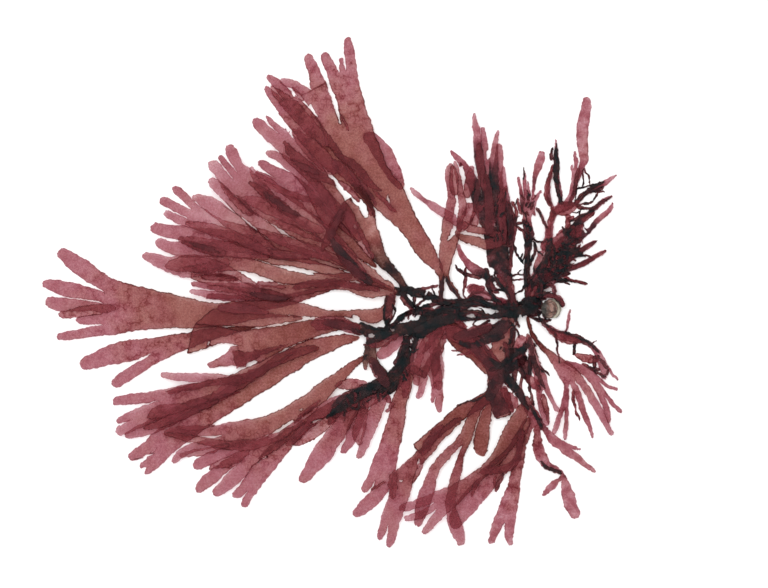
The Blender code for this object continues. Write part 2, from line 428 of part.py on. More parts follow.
def lay_out(branch, before=None):
    """Sections of a branch and of its forks.  The forks share its end section by their first widths."""
    sections = sections_of(stations_of(branch), before)
    for section, follower in zip(sections, sections[1:]):
        section.followers.append((0, follower))
    forks = forks_of(branch)
    if forks:
        end = sections[-1]
        middle, across = end.middle(), end.across()
        forks.sort(key=lambda fork: (Vector(fork[0][:2]) - middle).dot(across))
        total = sum(fork[0][2] for fork in forks)
        shared = 0.0
        for i, fork in enumerate(forks):
            if i:
                end.points.insert(i, end.points[0] + across * (shared / total))
            shared += fork[0][2]
            end.followers.append((i, lay_out(fork, middle)))
    return sections[0]


def edge_sections(section, side):
    """The sections along one side of a fork; side 0 is its left edge and side -1 its right edge."""
    found = [section]
    while section.followers:
        section = section.followers[side][1]
        found.append(section)
    return found


def crossings(crotch, left_fork, right_fork):
    """Sections where the right edge of the left fork crosses the left edge of the right fork."""
    one = edge_sections(left_fork, -1)
    other = edge_sections(right_fork, 0)
    near = [crotch] + [section.points[-1] for section in one]
    far = [crotch] + [section.points[0] for section in other]
    if (near[1] - crotch).cross(far[1] - crotch) > 0:
        return [(one[0], -1), (other[0], 0)]
    found = []
    for i in range(len(one)):
        for j in range(len(other)):
            if (i or j) and intersect_line_line_2d(near[i], near[i + 1], far[j], far[j + 1]):
                found += [(one[i], -1), (other[j], 0)]
    return found


def part_forks(section):
    """Narrows neighbouring forks, beside their crotch, wherever one would cross the other."""
    followers = [follower for _, follower in section.followers]
    for i, (left_fork, right_fork) in enumerate(zip(followers, followers[1:])):
        crossed = crossings(section.points[i + 1], left_fork, right_fork)
        while crossed:
            for crossing, side in crossed:
                crossing.points[side] -= crossing.across() * (FORK_NARROWING if side else -FORK_NARROWING)
            crossed = crossings(section.points[i + 1], left_fork, right_fork)
    for follower in followers:
        part_forks(follower)


def segments_of(section):
    """Every two neighbouring sections, with the share of the first that the second grows from."""
    found = []
    for share, follower in section.followers:
        found.append((section, share, follower))
        found.extend(segments_of(follower))
    return found


def run_of(segment):
    first, share, second = segment
    return (second.middle() - (first.points[share] + first.points[share + 1]) / 2).length


# ---------------------------------------------------------------- laying the ribbons down


class HeightMap:
    """How high the plant already stands above the surface, cell by cell, in millimetres."""

    def __init__(self):
        cells = (int(2 * LAY_HALF_X / LAY_CELL), int(2 * LAY_HALF_Y / LAY_CELL))
        self.top = np.zeros(cells)

    def footprint(self, segment):
        """Cells under a segment and its margin, and how far along the segment each lies, from 0 to 1."""
        first, share, second = segment
        corners = []
        for left, right in (first.points[share:share + 2], (second.points[0], second.points[-1])):
            aside = (right - left).normalized() * LAY_MARGIN
            corners.append((left - aside, right + aside))
        step = LAY_CELL / LAY_SAMPLES
        length = run_of(segment)
        past = LAY_MARGIN / length
        width = max((right - left).length for left, right in corners)
        along = np.linspace(-past, 1 + past, int(length * (1 + 2 * past) / step) + 2)
        aside = np.linspace(0, 1, int(width / step) + 2)
        u, v = np.meshgrid(along, aside)
        place = []
        for axis, half in ((0, LAY_HALF_X), (1, LAY_HALF_Y)):
            start = corners[0][0][axis] + v * (corners[0][1][axis] - corners[0][0][axis])
            end = corners[1][0][axis] + v * (corners[1][1][axis] - corners[1][0][axis])
            place.append(((start + u * (end - start) + half) / LAY_CELL).astype(int))
        return (place[0], place[1]), np.clip(u, 0, 1)

    def under(self, segment):
        cells, _ = self.footprint(segment)
        return self.top[cells].max()

    def cover(self, segment):
        first, _, second = segment
        cells, along = self.footprint(segment)
        top = first.height + along * (second.height - first.height) + LAID_THICKNESS
        np.maximum.at(self.top, cells, top)

    def cover_disc(self, center, radius, height):
        x, y = np.indices(self.top.shape) * LAY_CELL
        away = np.hypot(x - LAY_HALF_X - center[0], y - LAY_HALF_Y - center[1])
        self.top[away < radius + LAY_MARGIN] = height


def settle(root, heights):
    """Lifts a ribbon's sections clear of all that it crosses, with no climb steeper than STEEPEST."""
    segments = segments_of(root)
    for first, _, second in segments:
        first.height = 0.0
        second.height = 0.0
    for segment in segments:
        under = heights.under(segment)
        if under > 0:
            for section in (segment[0], segment[2]):
                section.height = max(section.height, under + BLADE_GAP)
    settled = False
    while not settled:
        settled = True
        for segment in segments:
            ends = (segment[0], segment[2])
            lowest = max(end.height for end in ends) - STEEPEST * run_of(segment)
            for end in ends:
                if end.height < lowest - HEIGHT_TOLERANCE:
                    end.height = lowest
                    settled = False
    return max(second.height for _, _, second in segments)


def lay_down(roots, heights):
    """Lays the ribbons one by one, always the one that can lie lowest, and returns them in that order."""
    waiting = list(roots)
    laid = []
    while waiting:
        reach = {name: settle(roots[name], heights) for name in waiting}
        lowest = min(waiting, key=reach.get)
        for segment in segments_of(roots[lowest]):
            heights.cover(segment)
        waiting.remove(lowest)
        laid.append(lowest)
    return laid


# ---------------------------------------------------------------- modelling


def grow(sheet, edge, corners, height):
    """Extrudes an edge of the sheet to the next section, and returns the new edge's two ends."""
    starts = [corner.co.copy() for corner in edge[:2]]
    grown = bmesh.ops.extrude_edge_only(sheet, edges=[sheet.edges.get(edge)])
    new = [item for item in grown["geom"] if isinstance(item, bmesh.types.BMVert)]
    new.sort(key=lambda vert: (vert.co - starts[0]).length)
    for vert, corner in zip(new, corners):
        vert.co = Vector((corner.x, corner.y, height)) * MM
    return new


def divide(sheet, ends, section):
    """Splits a section's edge at the crotches between its forks, and returns its vertices in order."""
    verts = [ends[0]]
    for point in section.points[1:-1]:
        edge = sheet.edges.get((verts[-1], ends[1]))
        _, vert = bmesh.utils.edge_split(edge, verts[-1], 0.5)
        vert.co = Vector((point.x, point.y, section.height)) * MM
        verts.append(vert)
    return verts + [ends[1]]


def grow_branch(sheet, verts, section):
    for share, follower in section.followers:
        corners = (follower.points[0], follower.points[-1])
        ends = grow(sheet, (verts[share], verts[share + 1]), corners, follower.height)
        grow_branch(sheet, divide(sheet, ends, follower), follower)


def add_ribbon(name, root, collection, material):
    """A sheet grown section by section along the ribbon, then thickened upwards."""
    sheet = bmesh.new()
    ends = [sheet.verts.new(Vector((point.x, point.y, root.height)) * MM) for point in root.points]
    sheet.edges.new(ends)
    grow_branch(sheet, ends, root)
    sheet.normal_update()
    for face in sheet.faces:
        if face.normal.z < 0:
            face.normal_flip()
    mesh = bpy.data.meshes.new(name)
    sheet.to_mesh(mesh)
    sheet.free()
    ribbon = bpy.data.objects.new(name, mesh)
    collection.objects.link(ribbon)
    solid = ribbon.modifiers.new("Thickness", "SOLIDIFY")
    solid.thickness = BLADE_THICKNESS * MM
    solid.offset = 1
    solid.use_even_offset = True
    mesh.materials.append(material)
    return ribbon


def add_holdfast(collection, material):
    """The disc that the plant grows from: a profile turned about its axis."""
    profile = bmesh.new()
    verts = [profile.verts.new((radius * MM, 0, height * MM)) for radius, height in HOLDFAST_PROFILE]
    for pair in zip(verts, verts[1:]):
        profile.edges.new(pair)
    mesh = bpy.data.meshes.new("holdfast")
    profile.to_mesh(mesh)
    profile.free()
    holdfast = bpy.data.objects.new("holdfast", mesh)
    collection.objects.link(holdfast)
    holdfast.location = (HOLDFAST_CENTER[0] * MM, HOLDFAST_CENTER[1] * MM, 0)
    turn = holdfast.modifiers.new("Turn", "SCREW")
    turn.steps = HOLDFAST_STEPS
    turn.render_steps = HOLDFAST_STEPS
    turn.use_merge_vertices = True
    turn.merge_threshold = HOLDFAST_MERGE * MM
    turn.use_smooth_shade = True
    turn.use_normal_flip = True
    mesh.materials.append(material)
    return holdfast


def principled(name, colour, roughness):
    material = bpy.data.materials.new(name)
    material.use_nodes = True
    shader = material.node_tree.nodes["Principled BSDF"]
    shader.inputs["Base Color"].default_value = (*colour, 1)
    shader.inputs["Roughness"].default_value = roughness
    shader.inputs["Metallic"].default_value = 0
    return material


def blade_material():
    return principled("blade", BLADE_COLOUR, BLADE_ROUGHNESS)


def stem_material():
    return principled("stem", STEM_COLOUR, BLADE_ROUGHNESS)


def crust_material():
    return principled("crust", CRUST_COLOUR, CRUST_ROUGHNESS)


def clear_scene():
    for leftover in list(bpy.data.objects):
        bpy.data.objects.remove(leftover)


def build():
    clear_scene()
    plant = bpy.data.collections.new("dulse")
    bpy.context.scene.collection.children.link(plant)
    blade = blade_material()
    stem = stem_material()
    heights = HeightMap()
    add_holdfast(plant, crust_material())
    heights.cover_disc(HOLDFAST_CENTER, HOLDFAST_RADIUS, HOLDFAST_HEIGHT)
    roots = {name: lay_out(branch) for name, branch in FRONDS.items()}
    for root in roots.values():
        part_forks(root)
    for name in lay_down(roots, heights):
        material = stem if name.startswith("stem") else blade
        add_ribbon(name, roots[name], plant, material)


build()
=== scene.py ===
# %% [markdown]
# # Dulse, a red seaweed, spread flat
# Dulse grows from a small crusted disc on a rock. Dark narrow stems leave the disc, fork again and again,
# and widen into thin blades as long as a hand. Out of the water the plant lies down flat, and where its
# blades cross, the light has to pass through all of them, so the crossings look deep wine red. This lesson
# dresses the plain model of such a plant: it smooths and frays the blades, adds the finest branches, and
# gives everything a see-through skin.

# %% Load the frame
import heapq
import math
import random

import bmesh
import bpy
from mathutils import Matrix, Vector, noise
from mathutils.bvhtree import BVHTree
from mathutils.kdtree import KDTree


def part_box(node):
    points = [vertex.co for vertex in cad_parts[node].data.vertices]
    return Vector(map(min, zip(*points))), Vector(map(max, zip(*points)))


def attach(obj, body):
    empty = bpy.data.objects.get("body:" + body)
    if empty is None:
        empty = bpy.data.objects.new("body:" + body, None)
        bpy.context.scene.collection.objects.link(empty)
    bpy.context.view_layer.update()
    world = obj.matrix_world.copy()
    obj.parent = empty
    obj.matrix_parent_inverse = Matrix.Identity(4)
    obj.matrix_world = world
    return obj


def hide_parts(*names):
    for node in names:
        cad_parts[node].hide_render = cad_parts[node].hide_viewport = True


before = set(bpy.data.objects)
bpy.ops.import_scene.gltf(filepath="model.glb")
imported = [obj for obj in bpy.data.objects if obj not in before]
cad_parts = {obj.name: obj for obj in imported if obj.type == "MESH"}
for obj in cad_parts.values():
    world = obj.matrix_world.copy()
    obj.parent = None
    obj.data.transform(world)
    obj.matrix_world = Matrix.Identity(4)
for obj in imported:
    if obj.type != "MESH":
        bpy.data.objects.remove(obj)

noise.seed_set(1)  # unseeded, the noise would follow the clock and fray the blades differently each run

MM = 0.001
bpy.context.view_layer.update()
NODES = sorted(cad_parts)

# %% [markdown]
# ## Camera
# A pressed plant is looked at from straight above, like a page. A long lens far away keeps the blades that
# lie on top from looking larger than the ones below, which a short lens would do.

# %% Camera
VIEW_WIDTH = 384 * MM
VIEW_CENTER = Vector((25.75 * MM, -0.75 * MM, 0))

bpy.ops.object.select_all(action="DESELECT")
bpy.ops.object.camera_add(rotation=(0, 0, 0))
camera = bpy.context.object
camera.data.lens = 120
camera.data.sensor_width = 36
camera.location = VIEW_CENTER + Vector((0, 0, VIEW_WIDTH * camera.data.lens / camera.data.sensor_width))
camera.data.clip_end = 10  # metres
bpy.context.scene.camera = camera
print("camera is", round(camera.location.z, 3), "m up")

# %% [markdown]
# ## Floor and light
# The plant lies on a plain white surface. The light is a bright even sky with one large soft lamp, so that
# it comes from all round and thin blades throw hardly any shadow. The floor lies a hair below the plant,
# because two surfaces in the very same place flicker against each other.

# %% Floor and light
bpy.ops.mesh.primitive_plane_add(size=3, location=(0, 0, -0.3 * MM))
floor = bpy.context.object
floor.name = "floor"
bpy.ops.object.transform_apply(location=True, rotation=True, scale=True)
paint = bpy.data.materials.new("white_floor")
paint.use_nodes = True
paint.node_tree.nodes["Principled BSDF"].inputs["Base Color"].default_value = (0.92, 0.92, 0.92, 1)
paint.node_tree.nodes["Principled BSDF"].inputs["Roughness"].default_value = 0.9
paint.node_tree.nodes["Principled BSDF"].inputs["Specular IOR Level"].default_value = 0
floor.data.materials.append(paint)

SKY = 1.05
world = bpy.data.worlds.new("even_sky")
bpy.context.scene.world = world
world.use_nodes = True
world.node_tree.nodes["Background"].inputs["Color"].default_value = (1, 1, 1, 1)
world.node_tree.nodes["Background"].inputs["Strength"].default_value = SKY

LAMP_AT = Vector((-0.5, 0.6, 1.2))
bpy.ops.object.light_add(type="AREA", location=LAMP_AT)
lamp = bpy.context.object
lamp.name = "soft_lamp"
lamp.data.shape = "SQUARE"
lamp.data.size = 1.2
lamp.data.energy = 10
lamp.rotation_euler = LAMP_AT.to_track_quat("Z", "Y").to_euler()  # it shines at the plant
bpy.context.scene.view_settings.view_transform = "Standard"
bpy.context.scene.cycles.transparent_max_bounces = 96  # each blade takes two on the way down and two back
print("lamp of", lamp.data.energy, "W, sky of", SKY)

# %% [markdown]
# ## From a flat ribbon to a blade
# In the plain model a blade is a ribbon of straight pieces with square ends. A real blade has soft curved
# edges, rounded tips and notches, and edges that wave and fray a little. The way there is the usual one for
# leaves: take the ribbon's upper face, join its triangles back into four-sided faces, give each tip one
# more narrow face, and let Subdivision Surface round it all. Then every point is nudged in the plane by
# noise, and Solidify gives the sheet its thickness at the end.

# %% Take the upper face of a ribbon
SAME_POINT = 0.02 * MM


def sheet_of(node):
    """A new piece that is the upper face of a CAD ribbon, in four-sided faces."""
    bpy.ops.object.select_all(action="DESELECT")
    sheet = bpy.data.objects.new(node + "_blade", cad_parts[node].data.copy())
    bpy.context.scene.collection.objects.link(sheet)
    sheet.select_set(True)
    bpy.context.view_layer.objects.active = sheet
    bpy.ops.object.mode_set(mode="EDIT")
    bpy.ops.mesh.select_all(action="SELECT")
    bpy.ops.mesh.remove_doubles(threshold=SAME_POINT)
    mesh = bmesh.from_edit_mesh(sheet.data)
    for face in mesh.faces:
        face.select_set(face.normal.z < 0.5)  # all that doesn't look up
    bmesh.update_edit_mesh(sheet.data)
    bpy.ops.mesh.delete(type="FACE")
    bpy.ops.mesh.select_all(action="SELECT")
    bpy.ops.mesh.tris_convert_to_quads(face_threshold=math.pi, shape_threshold=math.pi)
    return sheet


# %% [markdown]
# ## Tips and torn ends
# The last edge of each branch is one that runs between two corners of the sheet. Narrow ones are the
# growing tips, and get a short narrower face in front, which the subdivision turns into a round end. Wide
# ones are torn, and the one nearest the holdfast is where the branch comes from.

# %% Find and round the tips
HOLDFAST = (Vector(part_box("holdfast")[0]) + Vector(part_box("holdfast")[1])) / 2
GROWS_FROM = {"frond_center_broad": Vector((57, -15, 0)) * MM, "frond_center_torn": Vector((20, -22, 0)) * MM}
TORN_WIDTH = 4.9 * MM  # an end wider than this is torn and not a tip
TORN_LIP = 0.4 * MM
BLUNTNESS = 0.86  # the width of a tip, as a share of the width behind it
NARROW_STEM = 3.5 * MM  # a stem narrower than this keeps its pointed tips
# the face before a tip, as shares of the tip's width: how far it starts back, stands out, and half its width
NOSE_BACK = 0.42
NOSE_OUT = 0.1
NOSE_HALF = 0.3


def ends_of(mesh):
    """The edges between two corners: the square ends of the ribbon's branches."""
    corner = {vert for vert in mesh.verts if len(vert.link_edges) == 2}
    return [edge for edge in mesh.edges if edge.verts[0] in corner and edge.verts[1] in corner]


def middle_of(edge):
    return (edge.verts[0].co + edge.verts[1].co) / 2


def tear(mesh, edge):
    """Keeps a torn end square: one more, very short face holds the corners when it is subdivided."""
    face = edge.link_faces[0]
    behind = [vert for vert in face.verts if vert not in edge.verts]
    base = sum((vert.co for vert in behind), Vector()) / len(behind)
    along = (middle_of(edge) - base).normalized()
    grown = bmesh.ops.extrude_edge_only(mesh, edges=[edge])
    for item in grown["geom"]:
        if isinstance(item, bmesh.types.BMVert):
            item.co += along * TORN_LIP


def round_tips(sheet, node):
    """Blunts each tip and adds a short face before it.  Returns where the branch grows from, the tips, and
    the middles of the torn ends."""
    mesh = bmesh.from_edit_mesh(sheet.data)
    source = GROWS_FROM.get(node, HOLDFAST)
    ends = ends_of(mesh)
    root = min(ends, key=lambda edge: (middle_of(edge) - source).length)
    start = middle_of(root)
    found, torn = [], []
    for edge in ends:
        if edge is root:
            continue
        if edge.calc_length() > TORN_WIDTH:
            torn.append(middle_of(edge))
            tear(mesh, edge)
            continue
        face = edge.link_faces[0]
        behind = [vert for vert in face.verts if vert not in edge.verts]
        base = sum((vert.co for vert in behind), Vector()) / len(behind)
        width = (behind[0].co - behind[-1].co).length
        tip = middle_of(edge)
        along = (tip - base).normalized()
        length = (tip - base).length
        blunt = min(max(edge.calc_length(), width * BLUNTNESS), width)
        if node.startswith("stem") and width < NARROW_STEM:
            blunt = edge.calc_length()
        back = min(blunt * NOSE_BACK, length * 0.5)
        grown = bmesh.ops.extrude_edge_only(mesh, edges=[edge])
        new = [item for item in grown["geom"] if isinstance(item, bmesh.types.BMVert)]
        for vert in edge.verts:
            vert.co = tip - along * back + (vert.co - tip).normalized() * blunt / 2
        for vert in new:
            vert.co = tip + along * blunt * NOSE_OUT + (vert.co - tip).normalized() * blunt * NOSE_HALF
        found.append(tip)
    bmesh.update_edit_mesh(sheet.data)
    bpy.ops.object.mode_set(mode="OBJECT")
    return start, found, torn


# %% [markdown]
# ## Widths
# A narrow strand is thicker and darker than a broad blade, and a gap mustn't cut through it. So the width
# is noted on each point while the faces still run from one side of the ribbon to the other.

# %% Note how wide the ribbon is at each point
def note_widths(sheet):
    """Stores the ribbon's width at each point, in millimetres, before the points are subdivided."""
    mesh = bmesh.new()
    mesh.from_mesh(sheet.data)
    widths = []
    for vert in mesh.verts:
        across = [edge.calc_length() for edge in vert.link_edges if not edge.is_boundary]
        shortest = min(edge.calc_length() for edge in vert.link_edges)
        widths.append(max(across, default=shortest) / MM)
    mesh.free()
    store(sheet, "width_mm", widths)


# %% [markdown]
# ## Soft edges
# Subdivision Surface with smoothed corners makes an even curve out of the straight outline. Applying it
# gives real points to nudge, about three quarters of a millimetre apart.

# %% Subdivide
def subdivide(sheet, levels):
    """Rounds the outline and gives it more points."""
    smooth = sheet.modifiers.new("Smooth outline", "SUBSURF")
    smooth.levels = levels
    smooth.render_levels = levels
    smooth.boundary_smooth = "ALL"
    bpy.context.view_layer.objects.active = sheet
    bpy.ops.object.modifier_apply(modifier=smooth.name)


# %% [markdown]
# ## Gaps in the network
# Around the holdfast the branches have grown together and torn apart again, which leaves rounded gaps with
# the white surface behind them. Each gap is an oval: the faces inside it are deleted, and the points round
# it are drawn onto the oval, so that its edge is clean.

# %% Where the gaps are
# middle x and y, half length and half width, in millimetres, and the turn of the long way in degrees
GAPS = [
    # round the hub
    (92.6, 3.3, 3.5, 2.5, 48), (94.2, -3.4, 3.6, 1.8, 90), (84.8, -2.9, 4.1, 3.0, 115),
    (91.4, 12.2, 3.6, 3.2, 90), (79.3, 10.3, 1.9, 1.7, 60), (81.4, 8.1, 0.9, 0.8, 90),
    (81.5, 4.6, 0.9, 0.6, -40), (93.2, 8.2, 1.9, 0.6, 10), (99.4, 10.2, 1.8, 0.8, 52),
    (79, -1.8, 3.1, 0.6, -48), (73.6, -3.9, 2.0, 0.7, -15), (77.8, -4.6, 1.4, 0.4, -35),
    (80.4, -6.4, 2.4, 0.6, -14), (77.1, -8.6, 4.9, 1.6, -18), (82.6, -9.8, 1.0, 0.6, 60),
    (69.6, -11.8, 3.0, 1.0, 2), (69.2, -15, 2.1, 0.8, -45), (72.6, -16.2, 2.0, 1.0, 5),
    (80.7, -15, 1.1, 0.9, 0), (75.8, -17.2, 0.6, 0.4, 0), (94.4, -16, 5.0, 2.0, 100),
    (90.7, -22.6, 3.3, 0.9, 68), (98.3, -24, 0.6, 0.5, 0), (78.8, -26.9, 1.4, 0.8, 100),
    (74.8, -26.2, 0.9, 0.5, -20), (66.5, -0.4, 2.8, 1.3, 85), (72, 5.6, 4.6, 1.5, 0),
    (57.5, -6, 2.3, 0.7, -8), (58.2, -1.5, 3.6, 1.7, -65), (88.7, -15.6, 1.0, 0.5, -30),
    (91, -15.3, 1.4, 0.5, 80), (89, -34.7, 1.2, 0.6, 75),
    # west of the hub
    (48, -0.4, 2.1, 1.2, 0), (51.6, 0.6, 1.8, 1.0, 70), (38.6, -2.8, 2.4, 1.0, -58), (43, -4, 2.4, 0.8, 42),
    (44.6, -5.9, 2.3, 0.6, 12), (41, -12.4, 2.6, 1.3, 5), (32.5, -8.5, 5.5, 1.5, 90),
    (35, -6.8, 4.4, 1.5, -40), (31.5, -14.2, 4.6, 1.2, 47), (21, -16.9, 1.3, 0.5, 0),
    (12, -13.3, 2.6, 1.2, -35), (19.8, -22, 1.9, 1.2, 0), (39.6, -25.5, 3.2, 0.9, 82),
    (29.3, -19, 1.7, 0.7, 25), (27, 8, 8.5, 1.9, -40),
    # north and northeast
    (64.5, 57.5, 7.5, 1.9, 95), (78.2, 71, 4.5, 1.2, 82), (81.3, 35, 2.7, 0.7, -65),
    (76.1, 31.5, 1.8, 0.6, -55), (68, 35, 1.2, 0.6, -30), (59.8, 29.3, 4.0, 1.0, 62),
    (62.6, 38.8, 1.8, 0.7, 70), (102.8, 32.6, 7.9, 2.9, 105), (113.6, 33.6, 5.8, 3.2, 104),
    (111, 47.4, 5.2, 2.5, 96), (102.9, 22.8, 2.2, 1.4, 140), (106.3, 19.6, 1.5, 1.0, 50),
    (93.2, 37, 2.6, 1.4, 52), (94, 33.6, 1.2, 0.6, 35), (116.2, 26, 1.3, 1.0, 90),
    (118.7, 28.6, 1.4, 0.9, 80), (126.4, 31.4, 1.9, 0.8, 100), (124, 50, 4.5, 1.5, 52),
    (127.6, 47.2, 5.0, 1.7, 33), (131.4, 51.8, 2.4, 0.7, 28), (123.1, 54.6, 1.7, 1.1, 90),
    (126.6, 57, 3.8, 1.5, 95), (121.9, 41.4, 2.0, 0.7, 20), (125.6, 40, 2.6, 0.9, 25),
    (121.4, 38.4, 1.9, 0.9, 20), (93.5, 22.5, 7.4, 2.4, 107), (100.8, 18.6, 1.9, 0.5, 110),
    (98, 14.3, 1.7, 0.5, 65), (111.2, 30.4, 4.2, 1.1, 83),
    # northwest
    (8.6, 49.4, 8.6, 2.1, -46), (15.4, 41.4, 4.4, 1.7, -70), (27.7, 46.3, 1.7, 0.5, -48),
    (19, 16.2, 1.1, 0.6, -30), (11.3, 33, 1.5, 0.6, -55), (9, 5.6, 6.0, 0.5, -12),
    (-17.5, 11.1, 9.4, 0.9, -15), (-21.3, 80, 4.2, 0.8, -58), (-9.8, 90.3, 4.6, 0.6, -52),
    (-20, 99.4, 1.8, 0.7, -55), (-46.5, 45, 0.6, 0.5, 0), (-41.6, 34.4, 7.4, 0.5, -40),
    # west and southwest
    (-20.5, -14.9, 4.4, 0.7, 8), (-20.4, -12.2, 2.8, 0.5, -22), (-40.8, -35.6, 3.4, 1.1, 28),
    (-25.6, -68.2, 8.0, 1.3, 36), (-7.5, -64, 3.2, 0.6, 15), (-4, -69.4, 3.6, 1.0, 45),
    (-38.6, -69.3, 2.8, 0.35, 17), (-34, -82.6, 2.2, 0.4, 25), (-61.8, -25, 1.0, 0.6, 60),
    (-15.4, -58.6, 1.1, 0.5, 40), (-92.6, -81.4, 3.4, 0.4, 26),
    # southeast
    (95.5, -43.5, 3.4, 1.2, 80), (91.5, -51, 1.6, 0.6, 60), (93.6, -52.6, 1.4, 0.6, 60),
    (88.8, -43.5, 0.8, 0.6, 0), (115.3, -21.2, 1.0, 0.8, 0), (118.8, -22.1, 1.0, 0.7, -30),
    (86.4, -50, 5.0, 2.2, 105), (97.4, -66.6, 1.4, 0.5, 75), (43, -85.4, 2.6, 0.6, 80),
    (34.6, -93.8, 0.9, 0.6, 40),
]

# %% [markdown]
# ## Opening a gap
# A point is turned into the oval's own measure, in which the oval is a circle of radius 1. There it is easy
# to say what lies inside, and to push a point straight out onto the edge.

# %% Open the gaps
NARROW = 4.2  # a strand this narrow, in millimetres, runs past a gap and isn't cut
NEAR_GAP = 0.7  # a loose edge this near to a gap, in millimetres, is drawn onto it


def in_gap(point, gap):
    """Where a point is in the oval's own measure: inside it while the length is under 1."""
    x, y, half_length, half_width, turn = gap
    spot = Vector((point.x, point.y)) / MM - Vector((x, y))
    spot.rotate(Matrix.Rotation(-math.radians(turn), 2))
    return Vector((spot.x / half_length, spot.y / half_width))


def from_gap(spot, gap):
    """The way back: the place on the sheet of a spot in the oval's measure."""
    x, y, half_length, half_width, turn = gap
    place = Vector((spot.x * half_length, spot.y * half_width))
    place.rotate(Matrix.Rotation(math.radians(turn), 2))
    return (place + Vector((x, y))) * MM


def open_gaps(sheet):
    """Deletes the faces in the gaps and rounds what is left.  Returns how many gaps the sheet has."""
    bpy.ops.object.mode_set(mode="EDIT")
    bpy.ops.mesh.select_mode(type="FACE")
    bpy.ops.mesh.select_all(action="DESELECT")
    low, high = sheet_box(sheet)
    opened = 0
    for gap in GAPS:
        reach = gap[2] * MM
        within_x = low.x - reach < gap[0] * MM < high.x + reach
        within_y = low.y - reach < gap[1] * MM < high.y + reach
        if not (within_x and within_y):
            continue
        mesh = bmesh.from_edit_mesh(sheet.data)
        width = mesh.verts.layers.float["width_mm"]
        for face in mesh.faces:
            wide = min(vert[width] for vert in face.verts) > NARROW
            face.select_set(wide and in_gap(face.calc_center_median(), gap).length < 1)
        if not any(face.select for face in mesh.faces):
            continue
        bmesh.update_edit_mesh(sheet.data)
        bpy.ops.mesh.delete(type="FACE")
        mesh = bmesh.from_edit_mesh(sheet.data)
        for vert in mesh.verts:
            spot = in_gap(vert.co, gap)
            near = spot.length * gap[3] < gap[3] + NEAR_GAP
            if vert[width] > NARROW and (spot.length < 1 or (vert.is_boundary and near)):
                vert.co.xy = from_gap(spot.normalized(), gap)
        bmesh.update_edit_mesh(sheet.data)
        opened += 1
    bpy.ops.mesh.select_all(action="DESELECT")
    bpy.ops.mesh.select_mode(type="VERT")
    bpy.ops.object.mode_set(mode="OBJECT")
    return opened


def sheet_box(sheet):
    """The lowest and the highest corner of the sheet."""
    corners = [vert.co for vert in sheet.data.vertices]
    return [Vector(pick(corner[i] for corner in corners) for i in range(3)) for pick in (min, max)]


# %% [markdown]
# ## How far from the tip, and how far from the edge
# Dulse is youngest and pinkest at its tips and browner and thicker towards its stem, and its rim is a
# little darker. Two distances tell the material where it is: the way along the sheet to the nearest tip,
# and the straight way to the nearest edge. A third, the way to the nearest torn end, keeps such an end as
# light as it was before it tore. All three are stored on the points as attributes.

# %% Measure distances on a sheet
def walk(mesh, starts):
    """Distance from every vertex to the nearest start, along the edges of the sheet."""
    distance = {vert: 0.0 for vert in starts}
    queue = [(0.0, vert.index, vert) for vert in starts]
    heapq.heapify(queue)
    while queue:
        so_far, _, vert = heapq.heappop(queue)
        if so_far > distance[vert]:
            continue
        for edge in vert.link_edges:
            other = edge.other_vert(vert)
            reached = so_far + edge.calc_length()
            if reached < distance.get(other, math.inf):
                distance[other] = reached
                heapq.heappush(queue, (reached, other.index, other))
    return distance


def store(sheet, name, values):
    """Puts one number on each point, where a material can read it."""
    attribute = sheet.data.attributes.new(name, "FLOAT", "POINT")
    attribute.data.foreach_set("value", values)


FAR = 80 * MM  # the distance from a tip or a torn end where there is none
NO_RIM = 3 * MM  # this near to where the blade grows from, its edge is no rim


def distance_from(mesh, places):
    """Distance along the sheet from every vertex to the nearest of the places."""
    starts = [min(mesh.verts, key=lambda vert: (vert.co - place).length_squared) for place in places]
    return walk(mesh, starts) if starts else {vert: FAR for vert in mesh.verts}


def measure(sheet, start, tips, torn):
    """Stores each point's distances in millimetres: to the nearest tip, torn end and edge."""
    mesh = bmesh.new()
    mesh.from_mesh(sheet.data)
    mesh.verts.ensure_lookup_table()
    to_tip = distance_from(mesh, tips)
    to_torn = distance_from(mesh, torn)
    rim = [vert for vert in mesh.verts if vert.is_boundary and (vert.co - start).length > NO_RIM]
    tree = KDTree(len(rim))
    for i, vert in enumerate(rim):
        tree.insert(vert.co, i)
    tree.balance()
    store(sheet, "tip_mm", [to_tip.get(vert, 0) / MM for vert in mesh.verts])
    store(sheet, "torn_mm", [to_torn.get(vert, 0) / MM for vert in mesh.verts])
    store(sheet, "edge_mm", [tree.find(vert.co)[2] / MM for vert in mesh.verts])
    mesh.free()


# %% [markdown]
# ## Waves and frayed edges
# Nothing in the sea grows along a ruler. Three sizes of noise move each point sideways: slow waves, small
# dents, and a fine fray at the margin, which is strongest where the blade is old and at the nibbled tips.
# Only the margin needs more points for that, so only its edges are cut in two.

# %% Nudge the points
MARGIN_STEP = 0.35 * MM  # an edge of the margin longer than this is cut in two
OLD_AT = 60  # the way from the tip, in millimetres, at which a margin is fully frayed
NIBBLED_TO = 7  # and up to which the tip is nibbled
ROUGH = 1.3  # how much rougher the old stems and the fine strips are


def refine_margin(sheet):
    """Gives the margin more points, so that it can be frayed."""
    bpy.context.view_layer.objects.active = sheet
    bpy.ops.object.mode_set(mode="EDIT")
    bpy.ops.mesh.select_mode(type="EDGE")
    bpy.ops.mesh.select_all(action="DESELECT")
    mesh = bmesh.from_edit_mesh(sheet.data)
    for edge in mesh.edges:
        edge.select_set(edge.is_boundary and edge.calc_length() > MARGIN_STEP)
    bmesh.update_edit_mesh(sheet.data)
    bpy.ops.mesh.subdivide(number_cuts=1, quadcorner="INNERVERT")
    bpy.ops.mesh.select_mode(type="VERT")
    bpy.ops.object.mode_set(mode="OBJECT")


